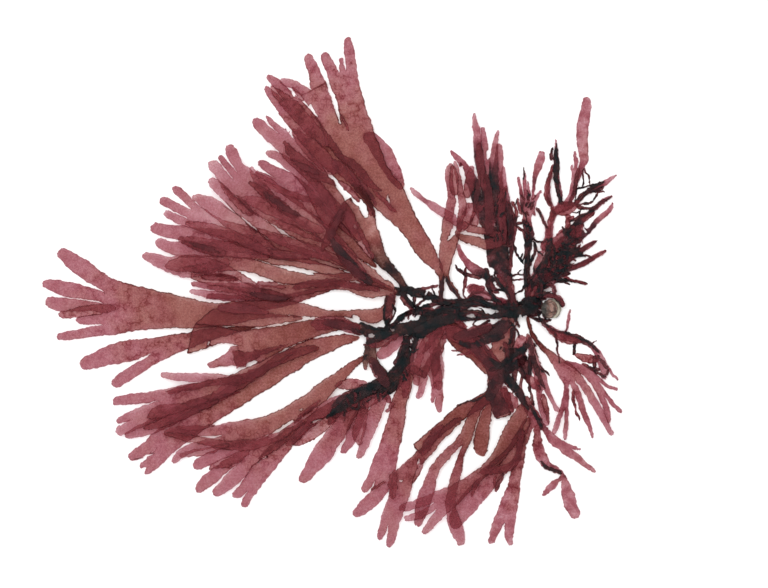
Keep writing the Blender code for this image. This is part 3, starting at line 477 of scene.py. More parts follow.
def fray(sheet, seed, roughness=1.0):
    """Moves each point by slow waves, small dents and a fine fray."""
    shift = Vector((seed * 0.37, seed * 0.61, seed * 0.13))
    old, edge = (sheet.data.attributes[name].data for name in ("tip_mm", "edge_mm"))
    for i, vert in enumerate(sheet.data.vertices):
        place = vert.co / MM
        age = min(old[i].value / OLD_AT, 1)
        margin = 1 if edge[i].value < 0.05 else 0.3
        nibbled = 1 + 1.6 * max(0, 1 - old[i].value / NIBBLED_TO)
        wave = noise.noise_vector(place / 9 + shift) * 0.6
        dent = noise.noise_vector(place / 2.6 + shift) * 0.45 * roughness
        fine = noise.noise_vector(place / 0.9 + shift) * (0.2 + 0.3 * age) * margin * roughness * nibbled
        move = wave + dent + fine
        vert.co += Vector((move.x, move.y, wave.z * 0.08)) * MM


# %% [markdown]
# ## Thickness
# Solidify turns the sheet into a closed body. The offset of -1 lets it grow downwards only, so that the
# upper face stays where it was put.

# %% Thicken
BLADE_THICKNESS = 0.3 * MM
STRIP_THICKNESS = 0.25 * MM


def thicken(sheet, thickness):
    """Gives the sheet its underside and its rim, and shades it smoothly."""
    solid = sheet.modifiers.new("Thickness", "SOLIDIFY")
    solid.thickness = thickness
    solid.offset = -1
    bpy.context.view_layer.objects.active = sheet
    bpy.ops.object.modifier_apply(modifier=solid.name)
    for face in sheet.data.polygons:
        face.use_smooth = True


# %% [markdown]
# ## The skin of a blade
# A blade is a coloured filter more than a coloured surface: white light goes down through it, comes back up
# through it, and loses mostly green and blue on the way. A Transparent shader with that colour does this
# for every blade that the light crosses. A small share of an ordinary shader over it gives the leathery
# sheen. The closed sheet is crossed four times, twice down and twice up, so each crossing takes the fourth
# root of the colour that is seen.

# %% Group: the colour of one layer
def group(name, inputs, outputs):
    """An empty node group with its sockets."""
    tree = bpy.data.node_groups.new(name, "ShaderNodeTree")
    for socket, kind, value in inputs:
        tree.interface.new_socket(socket, in_out="INPUT", socket_type=kind).default_value = value
    for socket, kind in outputs:
        tree.interface.new_socket(socket, in_out="OUTPUT", socket_type=kind)
    return tree, tree.nodes.new("NodeGroupInput"), tree.nodes.new("NodeGroupOutput")


def attribute(tree, name):
    """A number that is stored on the points."""
    node = tree.nodes.new("ShaderNodeAttribute")
    node.attribute_name = name
    return node.outputs["Fac"]


def math_node(tree, operation, one, other=None, clamp=False):
    """A sum, product or the like of two values, each another node's output or a number."""
    node = tree.nodes.new("ShaderNodeMath")
    node.operation = operation
    node.use_clamp = clamp
    for socket, value in zip(node.inputs, (one, other)):
        if hasattr(value, "is_linked"):
            tree.links.new(value, socket)
        elif value is not None:
            socket.default_value = value
    return node.outputs[0]


def ramp(tree, value, low, high, to_low, to_high):
    """A smooth step from to_low, where value is low, to to_high, where it is high."""
    node = tree.nodes.new("ShaderNodeMapRange")
    node.interpolation_type = "SMOOTHSTEP"
    tree.links.new(value, node.inputs["Value"])
    for socket, number in (("From Min", low), ("From Max", high), ("To Min", to_low), ("To Max", to_high)):
        node.inputs[socket].default_value = number
    return node.outputs["Result"]


def noise_of(tree, scale, detail, place):
    """Soft clouds from 0 to 1, as many to the metre as scale says."""
    node = tree.nodes.new("ShaderNodeTexNoise")
    node.inputs["Scale"].default_value = scale
    node.inputs["Detail"].default_value = detail
    tree.links.new(place, node.inputs["Vector"])
    return node.outputs["Fac"]


def mix_colours(tree, share, one, other):
    """The first colour where share is 0, and the other where it is 1."""
    node = tree.nodes.new("ShaderNodeMix")
    node.data_type = "RGBA"
    tree.links.new(share, node.inputs["Factor"])
    for socket, value in ((node.inputs[6], one), (node.inputs[7], other)):
        if hasattr(value, "is_linked"):
            tree.links.new(value, socket)
        else:
            socket.default_value = (*value, 1)
    return node.outputs[2]


PER_METRE = 1000
filter_tree, given, result = group(
    "seaweed_filter",
    [("Young", "NodeSocketColor", (0.42, 0.15, 0.17, 1)), ("Old", "NodeSocketColor", (0.3, 0.11, 0.09, 1)),
     ("Depth", "NodeSocketFloat", 1.0), ("Clouding", "NodeSocketFloat", 0.2)],
    [("Filter", "NodeSocketColor"), ("Height", "NodeSocketFloat"), ("Clouds", "NodeSocketFloat")])
places = filter_tree.nodes.new("ShaderNodeTexCoord").outputs["Object"]
tip_mm = attribute(filter_tree, "tip_mm")
edge_mm = attribute(filter_tree, "edge_mm")
cloud = noise_of(filter_tree, 0.09 * PER_METRE, 4, places)
blotch = noise_of(filter_tree, 0.22 * PER_METRE, 5, places)
grain = noise_of(filter_tree, 1.1 * PER_METRE, 3, places)

# age: pink and young at the tips, brown and old towards the stem, in clouds
age = ramp(filter_tree, tip_mm, 8, 70, 0, 1)
age = math_node(filter_tree, "ADD", age, ramp(filter_tree, cloud, 0.3, 0.7, -0.25, 0.25), clamp=True)
hue = mix_colours(filter_tree, age, given.outputs["Young"], given.outputs["Old"])

# a net of darker cell rows, in patches, where the tips part from the blade
BENT_BY = 0.0012  # metres
cells = filter_tree.nodes.new("ShaderNodeTexVoronoi")
cells.feature = "DISTANCE_TO_EDGE"
cells.inputs["Scale"].default_value = 0.42 * PER_METRE
bent = filter_tree.nodes.new("ShaderNodeVectorMath")
bent.operation = "MULTIPLY_ADD"
filter_tree.links.new(grain.node.outputs["Color"], bent.inputs[0])
bent.inputs[1].default_value = (BENT_BY, BENT_BY, 0)
filter_tree.links.new(places, bent.inputs[2])
filter_tree.links.new(bent.outputs["Vector"], cells.inputs["Vector"])
rows = ramp(filter_tree, cells.outputs["Distance"], 0.02, 0.16, 1, 0)
zone_start = ramp(filter_tree, tip_mm, 13, 30, 0, 1)
zone_end = ramp(filter_tree, tip_mm, 42, 72, 1, 0)
zone = math_node(filter_tree, "MULTIPLY", zone_start, zone_end)
zone = math_node(filter_tree, "MULTIPLY", zone, ramp(filter_tree, blotch, 0.46, 0.6, 0, 0.8))
net = math_node(filter_tree, "MULTIPLY", rows, zone)

# the rim is a fine dark line, strongest where the blade is old
rim = ramp(filter_tree, edge_mm, 0.18, 0.55, 1, 0)
rim = math_node(filter_tree, "MULTIPLY", rim, ramp(filter_tree, age, 0.2, 1, 0.5, 3.8))

# the depth of the layer, with its clouds, blotches and grain
depth = math_node(filter_tree, "ADD", given.outputs["Depth"], net)
depth = math_node(filter_tree, "ADD", depth, rim)
sway = ramp(filter_tree, blotch, 0.3, 0.7, -1, 1)
sway = math_node(filter_tree, "MULTIPLY", sway, given.outputs["Clouding"])
sway = math_node(filter_tree, "ADD", sway, ramp(filter_tree, grain, 0.32, 0.68, 0.78, 1.22))
depth = math_node(filter_tree, "MULTIPLY", depth, sway)
depth = math_node(filter_tree, "MULTIPLY", depth, 0.25)  # one of the four crossings
thin = filter_tree.nodes.new("ShaderNodeGamma")
filter_tree.links.new(hue, thin.inputs["Color"])
filter_tree.links.new(depth, thin.inputs["Gamma"])
filter_tree.links.new(thin.outputs["Color"], result.inputs["Filter"])
filter_tree.links.new(grain, result.inputs["Height"])
filter_tree.links.new(blotch, result.inputs["Clouds"])
print("filter group with", len(filter_tree.nodes), "nodes")

# %% [markdown]
# ## Blade and stem materials
# Both use the filter. A stem is the same tissue grown thick and dark, so it gets more depth, most of all
# near the holdfast.

# %% Materials
THIN_BODY = (0.38, 0.07, 0.09)
YOUNG = (0.41, 0.175, 0.21)
COVER = 0.15


def skin(name, young, old, body, dark_body, cover, clouding):
    """A see-through seaweed skin.  cover is the share of the surface that doesn't let light through."""
    material = bpy.data.materials.new(name)
    material.use_nodes = True
    tree = material.node_tree
    shader = tree.nodes["Principled BSDF"]
    shader.inputs["Roughness"].default_value = 0.5
    use = tree.nodes.new("ShaderNodeGroup")
    use.node_tree = filter_tree
    use.inputs["Young"].default_value = (*young, 1)
    use.inputs["Old"].default_value = (*old, 1)
    use.inputs["Clouding"].default_value = clouding
    tree.links.new(attribute(tree, "depth"), use.inputs["Depth"])
    patches = ramp(tree, use.outputs["Clouds"], 0.4, 0.6, 0, 1)
    thick = ramp(tree, attribute(tree, "depth"), 1.2, 2.6, 0, 1)
    colour = mix_colours(tree, thick, THIN_BODY, mix_colours(tree, patches, body, dark_body))
    tree.links.new(colour, shader.inputs["Base Color"])
    clear = tree.nodes.new("ShaderNodeBsdfTransparent")
    tree.links.new(use.outputs["Filter"], clear.inputs["Color"])
    bump = tree.nodes.new("ShaderNodeBump")
    bump.inputs["Distance"].default_value = 0.1 * MM
    bump.inputs["Strength"].default_value = 0.6
    tree.links.new(use.outputs["Height"], bump.inputs["Height"])
    tree.links.new(bump.outputs["Normal"], shader.inputs["Normal"])
    both = tree.nodes.new("ShaderNodeMixShader")
    both.inputs["Fac"].default_value = cover
    tree.links.new(clear.outputs["BSDF"], both.inputs[1])
    tree.links.new(shader.outputs["BSDF"], both.inputs[2])
    tree.links.new(both.outputs["Shader"], tree.nodes["Material Output"].inputs["Surface"])
    return material


BLADE = skin("blade", YOUNG, old=(0.385, 0.205, 0.168), body=(0.3, 0.05, 0.06),
             dark_body=(0.24, 0.045, 0.045), cover=COVER, clouding=0.12)
STEM = skin("stem", YOUNG, old=(0.38, 0.2, 0.165), body=(0.09, 0.07, 0.075),
            dark_body=(0.025, 0.06, 0.07), cover=COVER, clouding=0.35)
print("materials", BLADE.name, "and", STEM.name)

# %% [markdown]
# ## How dark and how old
# Blades differ: a few stay thin, most get a little deeper towards the stem, and the old stems turn nearly
# black. Two lists say so by name, and a blade that isn't named gets what most of them have.

# %% Tell how dark and how old
# how many layers a blade or stem counts for in the end, and between which distances from its tips it gets
# there, in millimetres
MOST_BLADES = (1.35, 12, 60)
NARROW_ADDS = 1.3  # the layers that a narrow strand counts for on top
DARKENS = {
    "stem_west": (5, 12, 45), "stem_west_upper": (4, 12, 45), "stem_southwest": (5, 12, 45),
    "stem_northwest": (3.6, 12, 45), "stem_north": (3.2, 6, 30), "stem_north_fine": (3.8, 14, 28),
    "stem_northeast": (2.0, 26, 46), "stem_northeast_low": (3, 8, 24), "stem_east": (2.4, 12, 36),
    "stem_south": (1.15, 12, 45), "stem_southeast": (1.6, 14, 45), "frond_by_holdfast": (2.6, 0, 3),
    "frond_center_torn": (2.7, 0, 3), "frond_center_broad": (2.0, 12, 45),
    "frond_south_broad": (1.35, 12, 50), "frond_south_long": (1.6, 12, 50),
    "frond_south_torn": (1.7, 12, 50), "frond_south_forked": (1.6, 12, 50),
    "frond_southeast_wide": (1.7, 12, 50), "frond_southeast_torn": (1.7, 12, 50),
    "frond_northwest_fourth": (0.5, 5, 30), "frond_northwest_band": (0.6, 5, 30),
    "frond_northwest_finger": (0.8, 5, 30), "frond_northwest_third": (0.85, 12, 60),
    "frond_northwest_second": (1.0, 12, 60), "frond_northwest_tall": (1.45, 0, 50),
    "frond_west_torn": (1.75, 12, 60)}
MADE_OF_STEM = ("stem", "frond_by_holdfast", "frond_center_torn")

# the sheets that look older than their distance from the tip, and by how many millimetres
OLDER = {
    "stem_northwest": 60, "frond_by_holdfast": 40, "frond_west_torn": 22, "frond_northwest_tall": 12,
    "frond_north_broad": 14, "frond_north_middle": 14, "frond_north_back": 8, "frond_center_torn": 60,
    "frond_center_broad": 30, "frond_center_south": 22}


def smoothstep(value, low, high):
    """A smooth step from 0 at low to 1 at high."""
    share = min(max((value - low) / (high - low), 0), 1)
    return share * share * (3 - 2 * share)


def tell_depth(sheet, node):
    """Stores how thick each point counts for light, and how old it is, from its distances and its width."""
    data = sheet.data
    tip, torn, width = (data.attributes[name].data for name in ("tip_mm", "torn_mm", "width_mm"))
    most, near, far = DARKENS.get(node, MOST_BLADES)
    whole_from = 2 if node.startswith(MADE_OF_STEM) else 20
    depths = []
    for i in range(len(data.vertices)):
        grown = smoothstep(tip[i].value, near, far)
        whole = smoothstep(torn[i].value, 1, whole_from)
        narrow = 1 - smoothstep(width[i].value, 1.2, 4.5)
        depth = 1 + (most - 1) * grown * whole
        depth += NARROW_ADDS * narrow * smoothstep(tip[i].value, 2, 14)
        depths.append(depth)
    store(sheet, "depth", depths)
    tip = data.attributes["tip_mm"].data  # looked up again, because a new attribute moves the others
    for value in tip:
        value.value += OLDER.get(node, 0)


# %% [markdown]
# ## The blades
# Now each ribbon goes through all the steps. The new sheet takes the plain ribbon's place: it rides on the
# same body and stands in for the same node.

# %% Make the blades
def make_blade(node, seed):
    """Dresses one node of the plain model."""
    sheet = sheet_of(node)
    start, tips, torn = round_tips(sheet, node)
    note_widths(sheet)
    subdivide(sheet, 3)
    gaps = open_gaps(sheet)
    refine_margin(sheet)
    measure(sheet, start, tips, torn)
    tell_depth(sheet, node)
    fray(sheet, seed, ROUGH if node.startswith(("stem_west", "stem_south")) else 1.0)
    thicken(sheet, BLADE_THICKNESS)
    stem = node.startswith(MADE_OF_STEM)
    sheet.data.materials.clear()
    sheet.data.materials.append(STEM if stem else BLADE)
    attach(sheet, "root")
    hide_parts(node)
    print(node, len(tips), "tips,", gaps, "gaps,", len(sheet.data.polygons), "faces")
    return sheet


sheets = {}
for seed, node in enumerate(NODES):
    if node != "holdfast":
        sheets[node] = make_blade(node, seed)

# %% [markdown]
# ## Fine branches
# Between the big stems runs a net of narrow branches, some only a millimetre wide, and small young blades
# lie over the large ones. Each is one strip: a plane is added over its first stretch, and its far edge is
# extruded from station to station. They are too many and too fine for the plain model, so they are made
# here, region by region.

# %% Strips round the hub
# each strip: how dark it is, and its stations x, y and width in millimetres
FINE_BRANCHES = {}
FINE_BRANCHES["branches_hub"] = [
    (3.4, [(88, -8, 4), (83, -6.6, 1.6), (77, -5.4, 1.3), (71, -3.0, 1.4), (66, -4, 2), (61, -6, 3)]),
    (3.4, [(86, -8.5, 3), (80, -7.3, 0.8), (75, -6.1, 1.2), (69, -6, 2.6), (60, -8, 4), (50, -9.5, 5)]),
    (3.0, [(85, -5, 2), (81, -3.8, 1), (77, -3.5, 1.2), (73, -2, 2.4), (68, -3.4, 2.6)]),
    (2.6, [(84, -7, 2), (82, -3.8, 1.6), (79.4, -0.2, 1.6), (77.8, 3, 2.6), (77.6, 8, 2.6), (76.4, 13, 2)]),
    (3.0, [(89, -9, 4), (82, -11.9, 2.2), (76, -12.2, 2.4), (72, -13.4, 1.6), (67, -13.2, 2),
         (60, -13, 4)]),
    (1.9, [(76.5, -12.6, 1.6), (72, -10.4, 1), (68.5, -9.7, 1.2), (66.6, -12, 1), (67.5, -13.6, 1)]),
    (2.4, [(73, -13.2, 1), (71.2, -15, 0.9), (70.2, -16.7, 0.9), (73.4, -17.4, 0.8), (75.4, -15.4, 1),
         (79, -14, 2)]),
    (1.7, [(91, -9, 5), (90.6, -4, 3), (89.6, 0, 2.4), (88.8, 5, 2.6), (87.6, 9, 3)]),
    (2.8, [(80.6, 1.3, 0.8), (84.6, 1.4, 0.8), (88.4, -0.4, 1), (89.2, -4, 1)]),
    (2.6, [(90.3, -0.4, 0.9), (92.6, -0.3, 0.9), (95.2, 1.8, 0.9), (96.6, 4, 1.2)]),
    (2.8, [(95, -9, 4), (96.8, -6, 2.4), (97, 0, 2), (96.6, 5, 1.8), (96.4, 12, 2)]),
    (2.4, [(88.4, 8.6, 1.4), (91, 8.9, 1), (94, 9.4, 0.8), (97.8, 9.4, 1.4)]),
    (2.0, [(88.6, 6, 1.6), (91, 6.6, 1), (94, 7.0, 0.8), (97.8, 6.8, 1.4)]),
    (2.6, [(80.2, 9.4, 0.8), (81.8, 6.4, 0.9), (84.4, 2.8, 0.9), (86.4, 1.2, 0.8)]),
    (1.5, [(82, 9, 2), (84, 6, 2.6), (86.4, 2.6, 1.4)]),
    (1.5, [(67.4, 1.6, 3), (71.4, 2.2, 4), (76.6, 2.2, 3.4)]),
    (2.2, [(61, 14.5, 0.8), (62.4, 11.4, 1.3), (65.4, 9.2, 1.4), (70, 8, 2), (75, 7.2, 2.6)]),
    (1.9, [(66.3, 12.2, 1.4), (66.6, 8, 2), (65.6, 3, 1.5), (64.8, -1, 0.9), (66.8, -3.4, 0.9)]),
    (1.9, [(66.8, -3.4, 1), (69.4, -0.8, 1.4), (73, 0.6, 1.6), (77.6, 0.2, 1.2), (80.8, -3.4, 0.9)]),
    (2.4, [(56.2, 8.5, 1.8), (58.4, 4.4, 2), (61.4, -0.4, 2.2), (64.4, -4, 2)]),
    (2.2, [(55.4, 8.6, 1.4), (54.6, 3, 1.8), (54.2, -3, 2.2), (54.6, -8, 2.4)]),
    (1.9, [(55.6, -4.5, 0.7), (60.6, -5, 0.7), (66, -4.6, 1)]),
    (3.4, [(71, -17.6, 1), (75, -19.6, 2.6), (80, -18.4, 3.6), (86, -14, 4)]),
    (1.5, [(71.4, -17.4, 1), (75, -18.6, 2.6), (80.4, -16.6, 2.6)]),
    (3.0, [(87.4, -13.4, 2), (89.4, -16, 1.2), (91.4, -17, 1.2), (92.4, -20, 1), (93.2, -23, 1.2)]),
    (3.0, [(91.2, -11, 1.6), (91.9, -14.6, 0.9), (93.4, -17.4, 1)]),
    (3.2, [(66, -21, 3), (73, -19.6, 5), (80, -20.5, 5), (86, -17, 5)]),
]

# %% [markdown]
# ## West
# The thickest branches leave the hub to the west, with a web between them and their side arms.

# %% Strips of the western branches
FINE_BRANCHES["branches_west"] = [
    (3.2, [(60, -5, 2.6), (50, -5.8, 2), (44, -8.2, 2), (40, -9.4, 2.4), (36, -11.2, 3), (31, -16, 3)]),
    (2.0, [(53.4, 3.6, 1.6), (48, 3, 1.6), (44, 1.2, 2.2)]),
    (2.6, [(44.4, 0.4, 2), (46, -2.2, 1.6), (50, -2.6, 1.6), (54, -3, 2)]),
    (2.6, [(49.6, 3, 0.9), (50.4, 0.8, 0.9), (51.8, -1.6, 1)]),
    (3.2, [(41, -7.6, 3), (38.4, -4.4, 2), (36.2, -1.4, 2.6), (33, 0.4, 3)]),
    (2.6, [(41, -7.6, 2), (41, -4, 1.2), (41.8, -1.2, 1.6)]),
    (2.8, [(41, -7.4, 1.6), (43.6, -5.2, 0.8), (47, -3, 1)]),
    (2.8, [(41, -7.6, 2), (44, -7.2, 1), (48, -6, 1)]),
    (2.0, [(33.4, -1, 3), (37.4, -6.2, 2), (41.2, -9.4, 1.6)]),
    (1.8, [(29.4, -0.6, 4), (29, -5, 3.4), (28, -9, 4), (28.6, -13, 3.4), (26.8, -17, 3)]),
    (3.4, [(27.2, -0.8, 0.8), (26.4, -6, 0.9), (26, -11, 1), (26.6, -16, 1.2)]),
    (3.0, [(30.2, -6, 0.8), (31.6, -9, 0.8), (30.8, -12, 0.9), (28, -16, 1)]),
    (1.6, [(44, -7.8, 1.6), (47, -8.4, 3), (50.6, -8.6, 2.4)]),
    (2.6, [(38, -10.6, 1.4), (34, -13.4, 2), (29, -17.6, 1.6), (24, -19, 1.4)]),
    (3.2, [(14, -15, 2), (19, -18.4, 1.6), (24, -18.8, 2), (28, -17.2, 1.6)]),
    (2.2, [(17.5, -20, 1.4), (17.2, -23.4, 1.6), (19, -26, 2.4)]),
    (1.6, [(15.4, -25.8, 0.9), (17.6, -25.6, 1.2)]),
    (3.6, [(40, -20, 5), (45, -20, 7), (50, -16, 6), (56, -13, 6), (64, -12, 5)]),
    (3.0, [(37, -21, 3.4), (36, -26, 3), (35.4, -31, 3.4)]),
    (3.4, [(42.4, -20, 3), (41.4, -25, 2.4), (40, -29, 3)]),
    (2.8, [(24, -45, 6), (16, -49.6, 6.4), (8, -54, 5), (2, -58.6, 3.4), (-3, -63, 1.4)]),
    (2.2, [(18, -47, 3), (10, -49.4, 3.4), (4, -53, 2.6), (-1, -57, 1)]),
    (2.2, [(-1, 27, 2), (3, 22.4, 4), (6.6, 17.4, 4.6), (11, 12, 4.6), (15.4, 7.6, 4.4), (20, 4, 4)]),
    (1.7, [(-5, -15, 3), (2, -15.6, 4.6), (8, -17.4, 5), (14, -19.6, 4)]),
    (2.8, [(30, -19, 3), (25, -22, 4), (20, -24.4, 3.4), (16, -24.6, 1.4)]),
    (2.8, [(36, -11, 1.4), (41, -9.4, 2.4), (46, -10, 3), (51, -10.4, 3)]),
    (1.6, [(57, -20, 2), (54.4, -25, 3.4), (53, -30, 3), (52, -34, 1.4)]),
    (1.9, [(18.6, -32, 3), (22, -38, 5), (25, -43, 6), (28, -47, 5)]),
    (3.0, [(36.6, -23, 2), (34.6, -28, 3), (33.6, -32, 3.4), (31, -36.6, 3)]),
    (2.6, [(9, -18.4, 2), (12, -19.4, 3.4), (16, -20.4, 3)]),
    (1.3, [(25, -50, 2), (27.4, -52.6, 3.4), (29, -55.4, 2)]),
    (2.0, [(77.6, 7, 2), (79, 4, 3.4), (80.6, 1.4, 3), (82.6, -1, 2)]),
    (1.4, [(18, -25.6, 2), (22, -26.4, 4), (26, -25, 4), (30, -22.6, 3), (33.4, -20.6, 2)]),
    (1.3, [(61, -13.6, 2), (64.6, -15.4, 3.4), (68, -18, 3)]),
]

# %% [markdown]
# ## Northeast
# The finest lace of the plant: a web round three large holes, strands that fan out above it, and a dark bed
# that carries them.

# %% Strips of the northeastern branches
FINE_BRANCHES["branches_northeast"] = [
    # the web round the three large holes
    (1.2, [(105.6, 21, 4), (107, 25, 4.4), (108.2, 28.6, 2.6), (108.6, 33, 2.4), (109.3, 38, 2.8),
         (110.6, 41, 4)]),
    (1.2, [(108.8, 42, 2.4), (111.6, 41, 4), (115.2, 42.2, 8), (118.6, 42.6, 5.6), (121.6, 44, 3.4),
         (123.6, 46.4, 1.6)]),
    (1.4, [(109.6, 42.4, 1.6), (107.2, 46.2, 2), (107, 51, 2.6), (108, 56, 2), (109.4, 60.6, 1.6),
         (110.8, 64, 1.4)]),
    (3.4, [(114.4, 44, 2), (113.2, 48.4, 1.8), (111.8, 53, 2.6), (112, 59, 3.2), (112, 66, 3),
         (111.6, 71, 1.8), (112, 75.6, 0.8)]),
    (1.4, [(117.4, 40, 3), (117.8, 35.4, 2.6), (117.6, 31, 3), (114, 27.4, 4), (110, 24, 5)]),
    (1.8, [(117.6, 43.6, 2), (119.8, 48.4, 2), (121.2, 53, 1.8), (122, 58, 1.8), (123, 62.6, 2)]),
    (2.8, [(101.6, 42.6, 1.6), (103.4, 39, 1.5), (105.6, 35.4, 1.3), (107.6, 32, 1.2)]),
    # the strands that fan out to the upper tips
    (2.4, [(121.6, 51.6, 1.2), (124.4, 52.8, 0.9), (128.6, 53, 0.9), (132.6, 53.8, 1.3),
         (136.4, 55.8, 1.4)]),
    (2.2, [(121.8, 46, 1.2), (124.8, 49, 1.3), (128, 51.6, 1.6), (131, 52.6, 1.2), (135.6, 55.6, 2.2)]),
    (2.2, [(123.6, 45.4, 1), (127.4, 49.8, 1.2), (131.2, 50.2, 1.3), (134.4, 51.4, 1.4), (136, 53.6, 1)]),
    (2.2, [(132, 50, 1), (134, 50.6, 0.9), (136.4, 50.3, 0.7)]),
    (2.4, [(121.4, 43.4, 1.6), (126.4, 44.2, 1.1), (130.4, 45.4, 1.2), (132.2, 47.6, 1.2), (133, 50, 1)]),
    (2.4, [(120.9, 44.4, 1), (121.4, 47.4, 0.7), (121.2, 50.6, 0.8), (122.2, 52.4, 0.8)]),
    (2.4, [(124.9, 52.8, 0.8), (124.8, 57, 0.8), (125.2, 61.6, 1)]),
    (2.2, [(125.4, 62, 1), (128, 58, 0.9), (128.6, 55.2, 0.9), (128.2, 53, 1)]),
    (2.4, [(119.4, 40.2, 0.8), (123.4, 40.3, 0.8), (124.6, 41.6, 0.8)]),
    (2.0, [(122, 42.8, 1.6), (126, 42.2, 1.5), (129.6, 41.8, 1.6), (132.8, 43.4, 2), (135.2, 45.8, 2.2),
         (137, 46, 1.1), (139.6, 48.4, 0.9)]),
    (2.4, [(123.6, 38.6, 0.9), (123.9, 41, 0.8), (125, 42.4, 0.9)]),
    (2.4, [(118, 35.6, 1.6), (122, 37.4, 1.3), (126.6, 39.6, 1.2), (131.8, 41, 1)]),
    (1.1, [(118, 35.8, 2), (119, 37.6, 2.4), (120.2, 38.2, 1)]),
    (1.1, [(124.4, 35.6, 2.2), (127, 37, 2.6), (129.6, 39.2, 2), (131, 40.6, 0.8)]),
    (1.2, [(112, 28.4, 1), (113.8, 30.4, 1.6), (117, 32.2, 2)]),
    # the dark bed they rise from
    (1.2, [(97, -6, 5), (100, 2, 4), (104, 9, 4), (111, 15, 4.4), (117, 20, 4.4), (121.6, 25, 3)]),
    (1.0, [(103, 4, 3), (108, 9, 4), (113, 12, 4), (119, 18, 3), (123, 23, 2)]),
    (3.0, [(97, -4, 2), (99, 4, 1.6), (102, 10, 1.6), (104, 15, 1.4)]),
    (3.0, [(99, -5, 2), (103, 1, 2), (107, 6, 2), (112, 10, 2)]),
    (2.8, [(98, 2, 1.4), (103, 5, 1.4), (108, 12, 1.4)]),
    (1.3, [(110, 21, 6), (116, 24.6, 5), (121.6, 29.6, 6), (124.6, 34, 3)]),
    (1.3, [(117.6, 34, 4), (121, 30, 5), (124, 26, 4)]),
    (1.8, [(103, 2, 4), (109, 6.4, 6), (114.6, 8.6, 2.6), (118.6, 9.4, 1.8)]),
    # its branches to the right
    (1.8, [(119, 20, 3), (123.6, 21.4, 2.6), (127, 23.2, 2.4), (130, 25.2, 1.8), (132.4, 26, 0.9)]),
    (1.4, [(115.6, 13.6, 2.4), (119, 12.9, 2.8), (123, 13.1, 2.4), (127, 15, 2.2), (130.4, 16.8, 1.6),
         (133.6, 19.2, 2.2), (137.2, 20.9, 0.7)]),
    (2.2, [(116, 15.4, 1), (120.4, 17.6, 1), (124.4, 19, 1), (127.6, 18.6, 1), (130, 17, 0.9)]),
    (2.6, [(109, 7.5, 3.4), (113.6, 8.2, 2.6), (116.6, 9, 1.6), (119, 9.4, 1.5)]),
    (1.3, [(115.6, 7.8, 1.6), (118.4, 6.6, 1.3), (122, 5.2, 1.4), (127.6, 3.8, 1.1)]),
    (2.6, [(110.6, 4.8, 1), (114.4, 5, 0.9), (116.4, 4.7, 0.9), (118.2, 3.2, 0.6)]),
    (2.6, [(116.2, 5, 0.7), (117, 6.6, 0.7)]),
    # and its fine net to the left
    (2.6, [(104, 10, 4), (106, 16, 3), (108.6, 22, 3), (109, 27, 2.6)]),
    (3.0, [(96, 12, 2), (99.4, 15.4, 1.4), (101.4, 21, 1.6), (100.2, 26, 1.4)]),
    (3.0, [(99.6, 27, 1.2), (102, 25.6, 1), (105, 25, 1), (108, 26.4, 2)]),
    (2.6, [(100.6, 25.6, 1), (102.4, 20.6, 0.9), (105.4, 18.4, 1.2)]),
    (2.8, [(95.4, 13.6, 1), (92, 21, 1.2), (88.8, 27.4, 1.4)]),
]

# %% [markdown]
# ## Beside the holdfast
# Fibres run from the hub onto the crust, and two curled branches close rings beside it.

# %% Strips beside the holdfast
FINE_BRANCHES["branches_holdfast"] = [
    (2.6, [(96, -4, 5), (100, -5, 6), (104.6, -5.6, 5)]),
    (2.4, [(96, -9, 4), (100, -10, 4), (104.4, -11, 3)]),
    (3.0, [(94, -5, 3), (99, -3.6, 3), (103, -3.4, 2.4), (107, -3, 1.6)]),
    (3.2, [(94, -8, 3.4), (99, -7.6, 3), (104, -7.4, 2.4), (108.6, -7.6, 1)]),
    (2.8, [(95, -10, 2.4), (99, -9.8, 1.6), (103, -9.8, 1), (106, -10, 0.8)]),
    (3.0, [(97, -11, 1.6), (101, -13.4, 1.4), (104.4, -14, 2.6), (108, -13.6, 1.6), (109.4, -13, 0.8)]),
    (2.6, [(101.4, -3.4, 1.2), (101.6, -8, 1), (103.4, -12, 1), (105, -13.6, 1)]),
    (2.4, [(104.6, -3, 1), (104.4, -7, 1), (105.4, -11, 1.1), (106.4, -13.4, 1)]),
    (1.6, [(101, 1, 3.6), (103, -1.4, 3.4), (106, -1.6, 2.6), (110, -1.8, 2.4), (113.4, -3, 2.4),
         (115.4, -6.4, 1.8), (115, -7.6, 1)]),
    (1.8, [(102.6, 3.4, 2.4), (104.6, 4.6, 1.8), (108, 5, 1.6), (110.6, 3.2, 1.8), (111, 0.6, 1.8),
         (110, -1.6, 1.6)]),
]

# %% [markdown]
# ## North
# Thin branches climb between the two northern stems.

